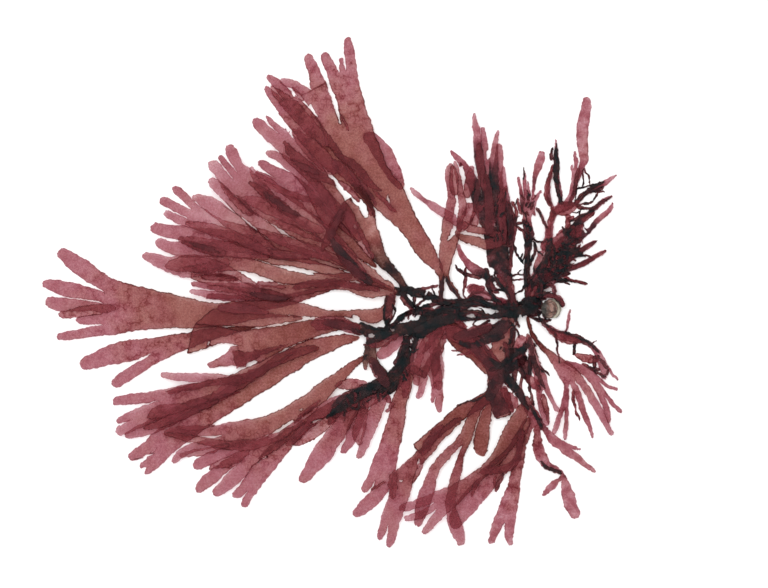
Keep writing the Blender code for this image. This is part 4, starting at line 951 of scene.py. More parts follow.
# %% Strips of the northern branches
FINE_BRANCHES["branches_north"] = [
    (2.0, [(90.6, 34, 2), (94.2, 35, 1), (97.6, 36, 1.4)]),
    (2.0, [(96.4, 26, 1.4), (95, 31, 1.3), (91, 34, 1.6), (89, 37, 2)]),
    (1.4, [(91, 34, 1.6), (92.6, 41, 1.8), (90.4, 44.4, 1.6), (89.4, 46.2, 1)]),
    (1.4, [(94.6, 39, 1.6), (93.4, 43, 2), (92.6, 47.4, 1.2)]),
    (3.0, [(95.6, 56, 1), (95.7, 60, 0.7), (95.8, 63.2, 0.5)]),
    (2.4, [(109.4, 66, 2), (109.2, 70.6, 1.6), (110.8, 72.6, 1)]),
    (1.2, [(86, 24, 3), (85, 33, 3.4), (84.4, 42, 5), (85, 50, 4), (87.6, 53.8, 1.6)]),
    (1.6, [(78, 28, 4), (79, 36, 5), (78, 46, 5), (77.4, 54, 3.6), (76.4, 60, 1.6)]),
    (1.8, [(88.4, 22, 3), (89.8, 29, 4.4), (90, 35, 4.2), (89.4, 41, 3), (88, 46, 1.4)]),
    (1.8, [(70.6, 40, 2), (72, 48, 3), (72.6, 55, 2.4), (73.6, 60, 1)]),
    (0.9, [(76, 50, 3), (74.4, 60, 4), (73.4, 68, 4), (73, 75, 2)]),
    (1.0, [(75, 44, 2), (74, 40.6, 4), (71.6, 44.4, 2)]),
    (1.0, [(67, 47, 4), (68.6, 54, 5), (69, 60, 4), (69.6, 64, 2.4)]),
    (1.0, [(61.4, 48, 4), (60.4, 54, 5), (60.6, 59, 4.4), (60, 64, 2)]),
    (0.9, [(63, 30, 6), (68, 38, 6), (70, 45, 5)]),
    (0.9, [(70.4, 33, 6), (71.6, 38, 4), (71, 43, 1.6)]),
]

# %% [markdown]
# ## Northwest
# Dark branches lie over the crossing blades.

# %% Strips of the northwestern branches
FINE_BRANCHES["branches_northwest"] = [
    (1.7, [(-35, 50, 1.4), (-30, 46.6, 2.6), (-25, 43, 3.6), (-20, 40, 2.4), (-15, 37.6, 1)]),
    (1.5, [(-21, 66, 1.2), (-16, 63.6, 3), (-11, 61, 2.8), (-6, 59, 1)]),
    (1.6, [(4.4, 42, 2), (2.6, 36.6, 3.4), (0.6, 31, 3.4), (-1.8, 26, 2)]),
    (1.7, [(2, 19, 2), (7, 14.6, 4.4), (12, 10, 4.4), (17, 6.4, 2.6)]),
    (1.6, [(-72, 25, 1), (-67, 23.4, 2.4), (-61, 21.4, 2.4), (-56, 19.6, 1)]),
    (1.7, [(-42, 0, 1.2), (-36, -1.6, 3), (-29, -2.8, 3), (-22, -3, 1.2)]),
    (1.6, [(13, 57, 1), (16.6, 52.4, 2), (20, 47.6, 2.2), (22, 43, 1.4)]),
    (1.5, [(-48, 49, 0.8), (-44.6, 45.4, 1.8), (-40.6, 41, 1.8), (-37, 38, 0.8)]),
]

# %% [markdown]
# ## Southeast
# A loose net of branches, with the torn blade's flap in it.

# %% Strips of the southeastern branches
FINE_BRANCHES["branches_southeast"] = [
    (1.1, [(94, -20.6, 3), (94.6, -23.6, 6), (93, -27.6, 6), (92, -30, 4)]),
    (2.2, [(93, -28, 5), (95, -33, 5), (97, -38, 4), (99, -42, 3)]),
    (1.1, [(96, -41, 3), (99, -44, 5), (102, -46, 5), (103.6, -50, 2)]),
    (2.2, [(131, -31, 1.6), (131.6, -35, 1.8), (130.4, -38.6, 1.6)]),
    (2.2, [(128, -37, 1.2), (131, -38.4, 2.4), (134, -38.6, 1.4)]),
    (1.9, [(80.6, -47, 6), (82, -54.6, 7.4), (84.8, -61, 8.6), (85, -61.5, 8.6)]),
    (2.4, [(62.6, -24.6, 1.6), (67, -26.6, 3.6), (73, -26.2, 3.4), (79, -23.4, 3.4), (86, -21.6, 4)]),
    (2.6, [(78, -32.6, 1.4), (82.6, -36, 3), (88, -38.4, 4.4), (93, -36.4, 4), (97, -31.6, 3)]),
    (1.8, [(66, -24, 3), (72, -29, 4), (77, -34, 4.4), (80.4, -40, 5), (81.6, -47, 5)]),
    (1.6, [(69, -20.4, 1.4), (74, -25, 1.4), (78, -29.6, 1.4), (79, -34, 1)]),
    (2.0, [(77.6, -26, 1.4), (77.4, -20.6, 1.6), (77, -17.8, 1)]),
    (1.6, [(85.4, -24, 2), (87, -29, 3.4), (87.4, -34.6, 1.6)]),
    (2.6, [(86, -28.6, 1.4), (90, -29.6, 3.6), (94, -30, 3.6), (97.4, -27, 2)]),
    (2.4, [(77.9, -41, 0.9), (78.2, -47, 0.9), (76.4, -51.4, 1.1), (73.6, -53.6, 1), (68, -54.4, 0.8),
         (62, -56.6, 0.8)]),
    (2.0, [(88.4, 8, 2.4), (89.4, 18, 2), (89.4, 27, 2.4), (89, 36, 3), (88, 45, 3)]),
    (2.6, [(103, -13.6, 1), (108, -17.6, 1.2), (113, -19.8, 1.2), (117.4, -20.2, 1.2), (121.4, -21.9, 1.6),
         (126, -24, 1.6), (129.4, -26.4, 1.8), (133.6, -30.2, 1.4)]),
    (2.0, [(128.4, -25.6, 0.8), (130.6, -25.4, 0.6), (132.2, -24.2, 0.5)]),
    (1.2, [(106, -16.6, 2), (110, -19.4, 3.4), (114, -22, 4.8), (118.4, -23.8, 5), (122, -25, 3),
         (124.6, -25, 1)]),
    (2.2, [(111, -19.4, 1.2), (112.2, -24, 0.9), (112.2, -29, 0.8), (113.6, -36.4, 1)]),
    (2.4, [(120.6, -25, 1.4), (121.2, -29, 1.4), (120.8, -32, 1)]),
    (1.1, [(120.8, -30.8, 1.4), (124.4, -32.8, 3.4), (129, -33.6, 4.2), (133.6, -32.8, 3.6)]),
    (2.2, [(132.4, -31, 1.6), (134.6, -33.4, 1.6), (135.8, -36, 2), (138, -38.2, 1.4)]),
    (2.4, [(130.6, -39, 1.4), (133, -40.6, 2), (135.6, -42.2, 2), (137.6, -40.6, 1.4), (138, -38.2, 1)]),
    (1.8, [(124.8, -35, 1.2), (129, -38, 1.2), (131.6, -40, 1)]),
    (1.5, [(120, -48, 1.6), (120.6, -55, 1.4), (122, -60, 1.2), (124, -65, 0.9)]),
    (1.8, [(103, -36, 1), (106, -39, 1), (109, -42, 0.7)]),
    (1.4, [(105, -50, 2.6), (107, -58, 3), (108.2, -66, 1.4)]),
    (2.6, [(99, -25, 2.6), (92, -31, 3), (84, -36.6, 3), (78, -39, 2)]),
    (1.7, [(80, -16, 5), (73, -19, 6), (66, -21, 6), (60, -23, 4)]),
    (2.2, [(88, -14, 6), (84, -19, 6), (79, -22, 5), (74, -25, 4)]),
    (2.2, [(90.4, -17, 2.6), (89.6, -24, 3.4), (88.6, -30, 3), (88, -36, 5), (85, -41, 6), (81, -46, 7),
         (79, -51, 6), (77, -54, 3)]),
    (2.2, [(98, -23.6, 1.6), (96, -28, 3.6), (93, -31, 4.4), (90.4, -36, 4.4), (91.4, -41, 3),
         (90, -45, 2)]),
    (2.2, [(98, -22, 2), (99.6, -28, 2.2), (100.4, -34, 2.4), (102, -39, 3), (104, -44, 2.4),
         (106.6, -48, 1.2)]),
    (2.2, [(93, -37, 3), (94.6, -40.6, 3), (97, -43.4, 1.2)]),
    (3.0, [(86, -41, 4), (90, -46, 4), (93.4, -50.6, 3.6), (96, -55, 2.4), (98.6, -59, 1.6)]),
    (2.6, [(98.6, -56, 1.6), (101, -60, 2), (104, -66, 1.6), (104.6, -69, 1.2)]),
    (3.0, [(104, -84, 1.2), (107.6, -88, 2), (112, -89, 2.2), (115, -90.4, 2)]),
    (1.4, [(59.5, -28.8, 0.8), (62, -29.8, 0.9), (65.5, -28.4, 2)]),
    (1.4, [(62, -31.6, 0.8), (66, -31, 1), (71, -29, 2)]),
    (2.0, [(93, -33, 2), (95.6, -38, 1.2), (93.6, -48, 1.6), (95, -56, 3)]),
    (2.2, [(98, -30, 1.6), (99, -38, 1.2), (97.6, -43, 1.4), (99, -50, 1.6), (101, -57, 2)]),
    (1.8, [(97, -34, 1.2), (94, -37, 1), (90.6, -38, 1.2), (88.6, -41, 1.2)]),
    (1.8, [(85, -90, 2.6), (83.4, -95, 2.8), (81.5, -99.8, 1.2)]),
    (1.2, [(85.5, -47, 3), (86, -51, 4.6), (88, -56, 4.2), (90, -60, 2.2)]),
]

# %% [markdown]
# ## Young blades in the south
# Small blades that lie over and between the large ones. All that follow are of this kind.

# %% Strips of the southern lobes
FINE_BRANCHES["lobes_south"] = [
    (1.2, [(12, -57.5, 3), (16.6, -55, 5), (21, -53.4, 5), (25, -51, 3)]),
    (1.2, [(1, -46.6, 1), (7, -45.8, 6), (13, -46, 6), (18, -46, 3)]),
    (1.1, [(86.6, -49.4, 3), (90, -54, 5), (92, -58, 4)]),
    (1.5, [(55, -16, 2), (50, -23, 3), (44.6, -31, 2.4)]),
    (1.6, [(50.6, -30, 2), (47.6, -36.6, 4), (45.4, -42, 2)]),
    (1.6, [(38.6, -37, 2), (43, -39.6, 4.4), (47.6, -42, 2)]),
    (1.6, [(51.6, -27, 3), (52.2, -35, 4.4), (50.6, -42.6, 2)]),
    (0.9, [(45, -23, 5), (43, -29, 7), (41.6, -35, 6.4), (40, -41.6, 4)]),
    (0.9, [(50, -20, 4), (51, -27, 6), (52.6, -35, 6.4), (52.6, -43, 6), (52.4, -49, 4)]),
    (1.0, [(41, -21, 4), (52, -18.5, 7), (62, -20.5, 9), (70, -25, 9), (77, -32, 9), (83, -40, 8),
         (84, -46, 5)]),
    (1.0, [(3, -60, 4), (-3, -65, 5), (-9, -69.5, 7), (-15, -72.5, 6), (-20, -76.3, 3)]),
    (1.0, [(30, -55, 2.6), (28.6, -57.6, 2.4), (27, -59.8, 1.4)]),
    (1.2, [(46, -82, 3), (42.4, -90.6, 3), (40, -96, 1.8)]),
    (1.2, [(16, -57, 4), (14.8, -63, 6), (13.6, -68, 7), (12.6, -72.4, 6), (13.8, -76.4, 2)]),
    (2.2, [(14, -52, 8), (7, -56.4, 6), (1, -60.6, 5), (-2.6, -66, 2)]),
    (1.4, [(37.6, -40, 5), (36.8, -45, 5), (36.2, -49, 4), (36, -53.4, 2.2)]),
    (1.0, [(32, -88, 2), (30.4, -92, 4), (29.8, -97, 5), (30, -101, 3), (30.4, -103.6, 1)]),
    (1.0, [(18.8, -99, 1.2), (22, -97, 1.6), (27, -94.2, 1.4)]),
    (1.8, [(73.4, -90, 2.6), (78.5, -88.8, 5), (83, -88.4, 4.4), (87.4, -87.6, 4), (91.4, -84.6, 4),
         (93.4, -79, 3.4), (93.8, -73.4, 3), (95, -68.4, 2.4)]),
    (2.4, [(76.8, -88.4, 2), (82.6, -83.6, 2.6), (88, -78, 1.6), (91, -72.4, 1.4), (94.6, -68, 1.6)]),
    (2.0, [(55.4, -65.6, 2), (52.4, -69, 3.6), (49.4, -73, 4.6), (46.6, -77.4, 4.4), (44.6, -81, 2.4)]),
    (1.6, [(82, -91, 1.4), (81, -94.6, 2), (81.4, -98.6, 1.2)]),
    (1.2, [(74, -92, 1.4), (71, -97, 2.6), (69.2, -102, 1)]),
    (1.0, [(85.6, -46.4, 3.4), (86, -51, 5), (87.6, -55.6, 4), (89.4, -58.6, 2)]),
]

# %% [markdown]
# ## Young blades in the west
# They lie along the long blades and deepen the colour where they cross.

# %% Strips of the western lobes
FINE_BRANCHES["lobes_west"] = [
    (1.0, [(-108, -7.5, 3), (-114, -8, 5), (-121, -8.7, 6), (-128, -10, 5), (-134, -10.8, 4),
         (-137, -11, 2.6)]),
    (1.9, [(-49.3, -33.6, 8.8), (-48.9, -33.5, 8.8), (-44, -32.8, 6.6), (-39, -31.4, 4.2),
         (-33, -29.2, 2.6), (-27, -27.4, 1.6), (-21, -25.4, 0.8)]),
    (1.5, [(-11, -15.8, 5), (-5, -15.4, 7), (1, -14.8, 7), (6, -15.2, 5), (10, -17, 4.4),
         (14, -18.4, 3.4)]),
    (1.8, [(-20, 1.8, 3), (-12, 4.2, 4), (-4, 5.2, 4), (3, 4.9, 3.8), (11, 3.2, 3.4), (18, 2, 3),
         (24, 1, 3)]),
    (2.8, [(-42, 1.4, 2.4), (-35, -0.4, 5), (-28, -2, 5), (-20, -2.6, 2.4)]),
    (1.0, [(-63, 2.6, 2), (-56, 2, 3.4), (-48, 1, 4), (-40, 0, 5), (-32, -1, 5.5), (-24, -2, 3.4)]),
    (1.0, [(-58, -8, 2), (-52, -7.6, 5), (-45, -8, 6), (-38, -9, 4), (-31, -10, 2)]),
    (1.9, [(-56.6, -43, 1.6), (-51, -44.4, 4.6), (-45, -43.4, 6.5), (-38, -40, 4.5), (-31, -36.8, 2.6),
         (-24, -33.2, 1.4), (-17, -28.8, 0.8)]),
    (1.0, [(-62, -54.4, 2), (-57, -50.8, 5.5), (-52, -47.8, 6.5), (-47, -46, 4)]),
    (1.0, [(-83, -49.8, 1), (-77, -48.6, 2.2), (-70, -47, 2.4), (-63, -45.2, 1.9), (-58, -43.8, 1)]),
    (1.0, [(-93, -62.6, 1.6), (-88.6, -59.8, 6.8), (-82, -58.8, 6), (-75, -57.6, 4), (-68, -55.4, 3),
         (-62, -53.4, 2)]),
    (1.4, [(-94, -68.6, 1.6), (-90, -66.6, 4), (-84, -64.6, 4.4), (-77, -61.8, 4), (-70, -59.2, 3.6),
         (-63, -56.2, 3), (-56, -53, 2.4), (-50, -50.6, 1.6), (-46, -49.3, 0.8)]),
    (1.1, [(-84, -70.4, 2), (-77, -71.8, 3.4), (-69, -73.4, 3.6), (-60, -75, 4), (-51, -76.6, 5),
         (-43, -76.4, 6), (-35, -75, 5), (-28, -72.4, 4.6), (-22, -69, 4.4), (-17, -65, 3.4),
         (-12, -60.6, 3), (-7, -56.4, 2.4)]),
    (1.0, [(-77, -81.4, 2), (-71, -80.6, 3.6), (-64, -79.6, 3.6), (-57, -77.6, 3), (-51, -75.6, 2)]),
    (1.1, [(-62, -88.4, 1.6), (-57.5, -86.4, 4), (-52, -84.6, 5.4), (-46.6, -82, 4.6), (-41, -78.6, 3)]),
    (1.1, [(-23, -76.6, 2.4), (-19.4, -73.6, 4), (-15.6, -69.6, 4), (-12, -65, 2.4)]),
    (1.0, [(-79, -67, 1.4), (-71, -68, 3), (-64, -67.2, 1.6), (-58, -65.8, 0.8)]),
    (1.4, [(-19, -66, 1), (-17, -62.4, 2), (-13.6, -60.4, 2.4), (-9.4, -56.6, 2), (-5.6, -53, 1.4)]),
]

# %% [markdown]
# ## Young blades in the northwest
# Here the blades lie thickest, up to four deep.

# %% Strips of the northwestern lobes
FINE_BRANCHES["lobes_northwest"] = [
    (1.0, [(-38, 4.6, 1.6), (-33, 4.4, 3), (-28, 3.6, 3), (-23, 2.6, 1.6)]),
    (1.2, [(-66, 8, 2), (-60, 8, 3.4), (-53, 7.4, 3.4), (-47, 6.4, 2)]),
    (1.3, [(3, 56, 2), (7, 52.6, 4), (11, 48.6, 3.4), (13, 45, 2)]),
    (0.8, [(-83.4, 12.6, 2.6), (-79, 13.6, 6.4), (-74, 14, 8), (-68, 14, 8), (-60, 13, 8), (-53, 11, 6),
         (-47, 8.4, 3.6), (-41, 5, 3), (-36, 2, 2.4)]),
    (1.1, [(-75, 12, 2), (-69, 11.8, 3.4), (-62, 12.4, 4.6), (-56, 14, 5), (-51, 16, 4)]),
    (0.8, [(-71, 8.6, 2.6), (-66, 7.2, 4), (-58, 6, 5), (-50, 4.5, 5), (-42, 2, 4.5), (-35, 0, 4)]),
    (0.9, [(-73.6, 35, 2.4), (-68, 33.8, 5), (-61, 32, 5.6), (-54, 30, 5.5), (-48, 28, 5), (-42, 25, 5),
         (-36, 22, 4), (-30, 18.4, 2.4)]),
    (0.8, [(-77.6, 27, 2.2), (-72, 25.6, 5), (-66, 24, 7), (-59, 22.5, 8), (-52, 21.5, 8), (-45, 20.4, 6),
         (-38, 19, 4), (-31, 16.4, 2.4)]),
    (1.0, [(-76, 25.6, 1.4), (-70, 23.4, 3), (-64, 21.4, 4.6), (-58, 20, 4.6), (-53, 19.4, 2.6)]),
    (0.9, [(-34, 29, 1.6), (-28, 26.8, 4.5), (-21, 24.5, 5.5), (-14, 22, 5.5), (-7, 19.5, 5), (0, 17, 4)]),
    (0.8, [(-32.4, 20.4, 1.8), (-27, 19.6, 4), (-19, 18.6, 3.6), (-10, 17.6, 2.4)]),
    (0.8, [(-47, 46, 2.6), (-41, 46, 5.5), (-35, 44, 7.5), (-29, 41.6, 8), (-23, 38.5, 7), (-17, 35.5, 6),
         (-10, 32.5, 5), (-4, 30, 4)]),
    (1.7, [(-41.4, 55.6, 1.6), (-36, 51.6, 4), (-31, 47, 5), (-26, 43.6, 6), (-22, 40, 4),
         (-17, 37.4, 2.4)]),
    (0.9, [(-37, 57, 2), (-31, 53, 3.6), (-24, 50, 3.4), (-17, 48, 2.6), (-10, 46, 2.4), (-4, 44, 2)]),
    (0.9, [(-56.4, 56, 0.8), (-53.6, 51.4, 2.4), (-51.6, 48, 4), (-47.6, 45, 3), (-44, 41, 3.6),
         (-40, 38, 2)]),
    (0.9, [(-30, 36, 1.6), (-24, 33.6, 3.4), (-18, 31, 3.4), (-11, 28, 3), (-5, 24.6, 2.4)]),
    (0.8, [(-12, 55, 6), (-8, 50, 10), (-4, 44, 11), (-1, 37, 9), (0, 31, 6)]),
    (0.9, [(6, 41, 5), (10, 34, 6), (14, 27, 5.6), (17, 21.4, 4), (20.6, 16.6, 3)]),
    (2.1, [(6.6, 44.6, 3), (4, 39, 4.6), (0.6, 33, 5), (-2.6, 26.6, 4.6), (-5.6, 20.4, 3)]),
    (1.7, [(-3, 30, 3), (1, 25, 4.6), (6, 19.6, 5), (11, 14.6, 5), (17, 9.4, 4)]),
    (1.8, [(-29, 47.4, 1), (-27, 45.4, 3), (-24, 43.6, 3), (-21, 41.4, 1)]),
    (1.6, [(-69, 24, 1), (-66, 23, 2.6), (-62, 21.6, 2.6), (-59, 20.6, 1)]),
    (1.1, [(-0.6, 23, 2), (4, 19, 3), (9.6, 13.6, 4), (13, 8, 4), (18, 4.4, 3.6)]),
]

# %% [markdown]
# ## Young blades in the north
# Narrow ones, most of them upright.

# %% Strips of the northern lobes
FINE_BRANCHES["lobes_north"] = [
    (1.0, [(-31.4, 103.4, 2), (-27, 99, 5.5), (-22, 94, 7.5), (-17, 89, 8), (-12, 84, 7.5), (-7, 78.5, 6),
         (-2, 72.6, 3.4)]),
    (1.0, [(-20, 102.4, 1.2), (-17.4, 99.6, 2.6), (-14.4, 95.6, 1.4)]),
    (1.0, [(-20.6, 81.4, 2), (-17, 78, 6), (-12, 74, 9), (-7, 69, 10), (-2, 64, 9), (2.4, 59, 5)]),
    (1.7, [(-24.4, 76, 1.6), (-21.4, 71, 4), (-17, 66.5, 5.5), (-12, 62, 6), (-7, 58.5, 5), (-1, 55.6, 3),
         (2.4, 53.4, 1.4)]),
    (2.0, [(1, 69.6, 1.2), (6, 67, 3), (11, 63.5, 4.5), (14.5, 59.5, 5), (17.5, 55.5, 4), (21, 52.2, 2.4),
         (25, 50.3, 0.7)]),
    (1.2, [(0, 66.4, 2.6), (3.5, 62.6, 5.5), (7.4, 58.6, 6), (10.8, 55.2, 4), (13.5, 52.6, 2.6)]),
    (3.4, [(9.6, 54, 1.4), (13, 51.6, 3.6), (16.5, 48.5, 3.4), (19, 45, 2.4), (20.1, 41, 1.6),
         (21, 37, 1.2)]),
    (2.6, [(14.4, 54.4, 1.6), (15.6, 50.6, 1.8), (18.6, 47.4, 2.2)]),
    (1.0, [(3.6, 89.6, 0.8), (5.5, 86, 1.6), (7, 83.5, 1.4), (8.8, 80.6, 0.5)]),
    (1.2, [(20, 51, 1.4), (24, 47.4, 2), (28.4, 43, 2.4), (32, 39.6, 1.6)]),
]


def turned(points, i):
    """The direction across the strip at station i: square to the mean of the ways before and after it."""
    before = points[max(i - 1, 0)]
    after = points[min(i + 1, len(points) - 1)]
    way = (after - before).normalized()
    return Vector((-way.y, way.x, 0))


def add_strip(sheet, stations):
    """Adds one strip to the mesh in edit mode."""
    points = [Vector((x, y, 0)) * MM for x, y, _ in stations]
    halves = [turned(points, i) * width * MM / 2 for i, (_, _, width) in enumerate(stations)]
    bpy.ops.mesh.primitive_plane_add(size=MM)
    mesh = bmesh.from_edit_mesh(sheet.data)
    face = [face for face in mesh.faces if face.select][0]
    corners = [points[0] - halves[0], points[1] - halves[1], points[1] + halves[1], points[0] + halves[0]]
    for vert, corner in zip(face.verts, corners):
        vert.co = corner
    width = mesh.verts.layers.float["width_mm"]
    for vert, station in zip(face.verts, (0, 1, 1, 0)):
        vert[width] = stations[station][2]
    pair = [face.verts[1], face.verts[2]]
    for i in range(2, len(stations)):
        bpy.ops.mesh.select_all(action="DESELECT")
        pair[0].select = pair[1].select = True
        mesh.edges.get(pair).select = True
        bmesh.update_edit_mesh(sheet.data)
        bpy.ops.mesh.extrude_edges_move()
        mesh = bmesh.from_edit_mesh(sheet.data)
        width = mesh.verts.layers.float["width_mm"]
        near = points[i - 1] - halves[i - 1]
        pair = sorted((vert for vert in mesh.verts if vert.select), key=lambda vert: (vert.co - near).length)
        pair[0].co, pair[1].co = points[i] - halves[i], points[i] + halves[i]
        for vert in pair:
            vert[width] = stations[i][2]
    bmesh.update_edit_mesh(sheet.data)


# %% [markdown]
# ## Laying the strips over the blades
# A strip rests on whatever is under it. A ray goes straight down from each point to find that height, and
# then the heights are evened out, never below what they found, so that the strip lies over the edges like a
# wet ribbon. The upper face is laid a little higher than a strip is thick, because its underside grows down
# from there.

# %% Drape
DROP_FROM = 50 * MM
RESTS = 0.4 * MM
ON_FLOOR = 0.02 * MM
EVENINGS = 8


def drape(sheet, below):
    """Lays the sheet over the surface below it."""
    mesh = bmesh.new()
    mesh.from_mesh(sheet.data)
    least = []
    for vert in mesh.verts:
        hit = below.ray_cast(Vector((vert.co.x, vert.co.y, DROP_FROM)), Vector((0, 0, -1)))[0]
        least.append(hit.z + RESTS if hit else ON_FLOOR)
    heights = list(least)
    for _ in range(EVENINGS):
        means = [sum(heights[edge.other_vert(vert).index] for edge in vert.link_edges) / len(vert.link_edges)
                 for vert in mesh.verts]
        heights = [max(pair) for pair in zip(least, means)]
    for vert in mesh.verts:
        vert.co.z = heights[vert.index]
    mesh.to_mesh(sheet.data)
    mesh.free()


def surface_of(pieces):
    """One search tree of all the pieces' faces."""
    corners, faces = [], []
    for piece in pieces:
        first = len(corners)
        corners += [vert.co.copy() for vert in piece.data.vertices]
        faces += [[first + i for i in face.vertices] for face in piece.data.polygons]
    return BVHTree.FromPolygons(corners, faces)


# %% [markdown]
# ## Strips become sheets
# All strips of a region are one piece. They go through the same steps as a blade, and are laid over
# everything that was made before them. The young blades come first, so that the dark branches lie on top.

# %% Make the strips
STRIP_AGE = 34  # the colour of a strip is that of a blade this far from its tips, in millimetres
LOBE_SHARE = 0.8  # a young blade is as dark as this share of its number


def make_strips(name, strips, below, seed, levels=3):
    """Makes the strips of one region and lays them over what is below."""
    sheet = bpy.data.objects.new(name, bpy.data.meshes.new(name))
    bpy.context.scene.collection.objects.link(sheet)
    sheet.data.attributes.new("width_mm", "FLOAT", "POINT")
    sheet.data.attributes.new("darkness", "FLOAT", "POINT")
    bpy.ops.object.select_all(action="DESELECT")
    sheet.select_set(True)
    bpy.context.view_layer.objects.active = sheet
    bpy.ops.object.mode_set(mode="EDIT")
    for darkness, stations in strips:
        add_strip(sheet, stations)
        mesh = bmesh.from_edit_mesh(sheet.data)
        dark = mesh.verts.layers.float["darkness"]
        for vert in mesh.verts:
            if vert[dark] == 0:
                vert[dark] = darkness * (LOBE_SHARE if name.startswith("lobes") else 1)
        bmesh.update_edit_mesh(sheet.data)
    bpy.ops.object.mode_set(mode="OBJECT")
    subdivide(sheet, levels)
    measure_strips(sheet)
    fray(sheet, seed, ROUGH)
    drape(sheet, below)
    thicken(sheet, STRIP_THICKNESS)
    blade = name.startswith("lobes")
    sheet.data.materials.append(BLADE if blade else STEM)
    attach(sheet, "root")
    print(name, len(strips), "strips,", len(sheet.data.polygons), "faces")
    return sheet


def measure_strips(sheet):
    """Stores what the material reads, as measure and tell_depth do for a blade."""
    data = sheet.data
    tree = KDTree(len(data.vertices))
    mesh = bmesh.new()
    mesh.from_mesh(data)
    for vert in mesh.verts:
        if vert.is_boundary:
            tree.insert(vert.co, vert.index)
    tree.balance()
    store(sheet, "edge_mm", [tree.find(vert.co)[2] / MM for vert in mesh.verts])
    mesh.free()
    dark = data.attributes["darkness"].data
    depths = [dark[i].value for i in range(len(data.vertices))]
    store(sheet, "depth", depths)
    store(sheet, "tip_mm", [STRIP_AGE] * len(depths))


all_pieces = list(sheets.values())
young_blades_first = sorted(FINE_BRANCHES, key=lambda name: not name.startswith("lobes"))
for seed, name in enumerate(young_blades_first):
    all_pieces.append(make_strips(name, FINE_BRANCHES[name], surface_of(all_pieces), 100 + seed))

# %% [markdown]
# ## Twigs
# The old stems bristle with short twigs, most of them pointing the way the stem grows. No two are alike and
# nobody could place them by hand, so each bed of twigs is sown: a stretch of stem, how far to each side of
# it, how many twigs, the way they point, and how long they are.

# %% Sow the twigs
# x, y at both ends of the bed, its half breadth, number of twigs, their way in degrees and its spread, and
# their shortest and longest length in millimetres
TWIG_BEDS = [
    (99, 0, 122, 28, 5.5, 110, 42, 70, 3.0, 8.0),
    (84, -8, 103, -6, 3.0, 36, 180, 180, 2.0, 4.5),
    (80, -10, 44, -9, 2.0, 24, 190, 70, 1.6, 4.0),
    (44, -9, 20, -18, 2.0, 16, 210, 60, 1.6, 4.0),
    (42, -22, 34, -42, 3.0, 20, -110, 60, 2.0, 5.0),
    (32, -44, 4, -57, 4.0, 34, -110, 45, 2.0, 5.5),
    (98, 22, 98, 48, 2.0, 34, 85, 45, 2.0, 5.0),
    (84, 24, 88, 48, 5.0, 24, 80, 35, 2.0, 5.0),
    (101, -22, 104, -46, 1.5, 14, -70, 40, 2.0, 4.6),
    (88, -22, 88, -44, 3.0, 14, -90, 50, 2.0, 4.6),
    (90, 8, 97, 22, 3.0, 14, 80, 50, 2.0, 4.6),
]


TWIG_TIP = 0.5  # the width of a twig's end, in millimetres


def sow(bed, seed, ground):
    """The strips of one bed of twigs.  A twig whose foot would hang in the air isn't kept."""
    x0, y0, x1, y1, half, number, way, spread, shortest, longest = bed
    pick = random.Random(seed)
    along = Vector((x1 - x0, y1 - y0))
    side = Vector((-along.y, along.x)).normalized()
    strips = []
    for _ in range(number):
        base = Vector((x0, y0)) + along * pick.random() + side * half * pick.uniform(-1, 1)
        turn = math.radians(way + spread * pick.uniform(-1, 1))
        bend = turn + pick.uniform(-0.7, 0.7)
        length = pick.uniform(shortest, longest)
        width = pick.uniform(0.55, 1.2)
        if ground.ray_cast(Vector((*(base * MM), DROP_FROM)), Vector((0, 0, -1)))[0] is None:
            continue
        middle = base + Vector((math.cos(turn), math.sin(turn))) * length * 0.5
        tip = middle + Vector((math.cos(bend), math.sin(bend))) * length * 0.5
        darkness = pick.uniform(1.6, 3.4)
        middle_width = width * pick.uniform(0.8, 1.3)
        strips.append((darkness, [
            (base.x, base.y, width), (middle.x, middle.y, middle_width), (tip.x, tip.y, TWIG_TIP)]))
    return strips


twigs = []
ground = surface_of(all_pieces)
for seed, bed in enumerate(TWIG_BEDS):
    twigs += sow(bed, seed, ground)
all_pieces.append(make_strips("twigs", twigs, ground, 200, levels=2))
print(len(twigs), "twigs in", len(TWIG_BEDS), "beds")

# %% [markdown]
# ## The holdfast
# A small crusted disc that once gripped the rock: lumpy, chalky in places and stained brown in others. The
# plain model has it as a smooth disc. Its own mesh is subdivided and pushed about by noise, more at the rim
# than in the middle, so that it keeps its place and its size.

# %% Shape the holdfast
DISC_RADIUS = 5 * MM


def make_holdfast():
    """Turns the plain disc into a lumpy crust."""
    bpy.ops.object.select_all(action="DESELECT")
    crust = bpy.data.objects.new("holdfast_crust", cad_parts["holdfast"].data.copy())
    bpy.context.scene.collection.objects.link(crust)
    crust.select_set(True)
    bpy.context.view_layer.objects.active = crust
    bpy.ops.object.mode_set(mode="EDIT")
    bpy.ops.mesh.select_all(action="SELECT")
    bpy.ops.mesh.remove_doubles(threshold=SAME_POINT)
    bpy.ops.mesh.subdivide(number_cuts=4)
    bpy.ops.object.mode_set(mode="OBJECT")
    middle = Vector((HOLDFAST.x, HOLDFAST.y, 0))
    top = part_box("holdfast")[1][2]
    for vert in crust.data.vertices:
        place = vert.co / MM
        out = vert.co - middle
        out.z = 0
        reach = out.length / DISC_RADIUS
        lump = noise.noise(place / 2.1) * 0.9 + noise.noise(place / 0.8) * 0.35
        vert.co += out.normalized() * lump * reach * 0.8 * MM
        height = vert.co.z / top
        vert.co.z += height * (noise.noise(place / 1.6 + Vector((7, 0, 0))) * 0.7 - 0.3 * reach) * MM
    for face in crust.data.polygons:
        face.use_smooth = True
    crust.data.materials.clear()
    crust.data.materials.append(CRUST)
    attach(crust, "root")
    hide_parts("holdfast")
    print("holdfast", len(crust.data.polygons), "faces")
    return crust


# %% [markdown]
# ## The crust's skin
# Distance from a point near the middle, disturbed by noise, makes the rim and the wrinkles. The distance
# across the disc makes the side towards the stem dark.

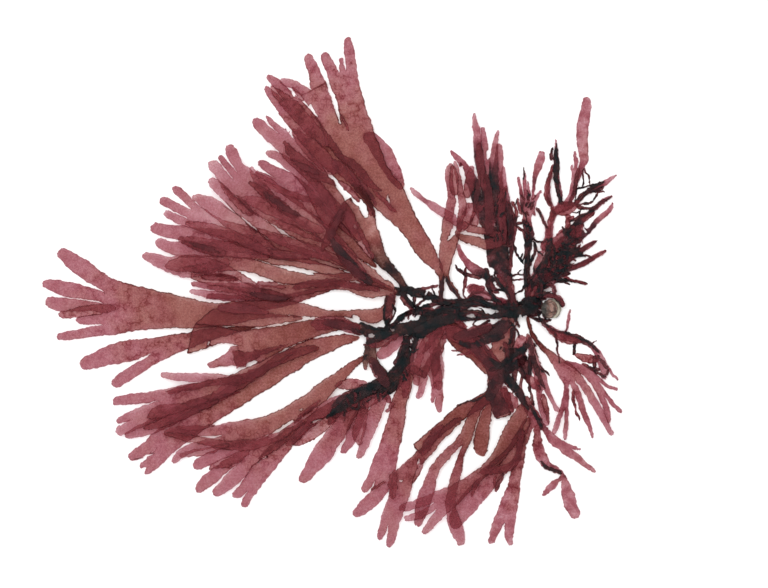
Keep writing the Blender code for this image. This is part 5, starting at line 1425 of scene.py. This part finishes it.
# %% Colour the holdfast
def crust_skin():
    """Brown lumps in the middle, a pale rim away from the stem, a dark side towards it, and dark wrinkles."""
    material = bpy.data.materials.new("crust")
    material.use_nodes = True
    tree = material.node_tree
    shader = tree.nodes["Principled BSDF"]
    spots = tree.nodes.new("ShaderNodeTexCoord").outputs["Object"]
    away = tree.nodes.new("ShaderNodeVectorMath")
    away.operation = "DISTANCE"
    tree.links.new(spots, away.inputs[0])
    away.inputs[1].default_value = (HOLDFAST.x - 1.4 * MM, HOLDFAST.y, 0)
    lumps = noise_of(tree, 0.35 * PER_METRE, 4, spots)
    reach = math_node(tree, "ADD", math_node(tree, "MULTIPLY", away.outputs["Value"], PER_METRE), lumps)
    stain = ramp(tree, lumps, 0.44, 0.58, 0, 1)
    base = mix_colours(tree, stain, (0.27, 0.15, 0.12), (0.085, 0.035, 0.028))
    base = mix_colours(tree, ramp(tree, reach, 4.9, 5.9, 0, 1), base, (0.42, 0.38, 0.3))
    sides = tree.nodes.new("ShaderNodeSeparateXYZ")
    tree.links.new(spots, sides.inputs["Vector"])
    across = math_node(tree, "MULTIPLY", sides.outputs["X"], PER_METRE)
    across = math_node(tree, "SUBTRACT", across, HOLDFAST.x / MM)
    across = math_node(tree, "ADD", across, math_node(tree, "MULTIPLY", lumps, 5))
    base = mix_colours(tree, ramp(tree, across, -0.6, 1.6, 1, 0), base, (0.032, 0.03, 0.026))
    rings = math_node(tree, "SINE", math_node(tree, "MULTIPLY", reach, 5))
    wrinkles = ramp(tree, rings, 0.55, 0.98, 0, 0.75)
    base = mix_colours(tree, wrinkles, base, (0.07, 0.05, 0.04))
    tree.links.new(base, shader.inputs["Base Color"])
    shader.inputs["Roughness"].default_value = 0.45
    bump = tree.nodes.new("ShaderNodeBump")
    bump.inputs["Distance"].default_value = 0.25 * MM
    tree.links.new(rings, bump.inputs["Height"])
    tree.links.new(bump.outputs["Normal"], shader.inputs["Normal"])
    return material


CRUST = crust_skin()
all_pieces.append(make_holdfast())
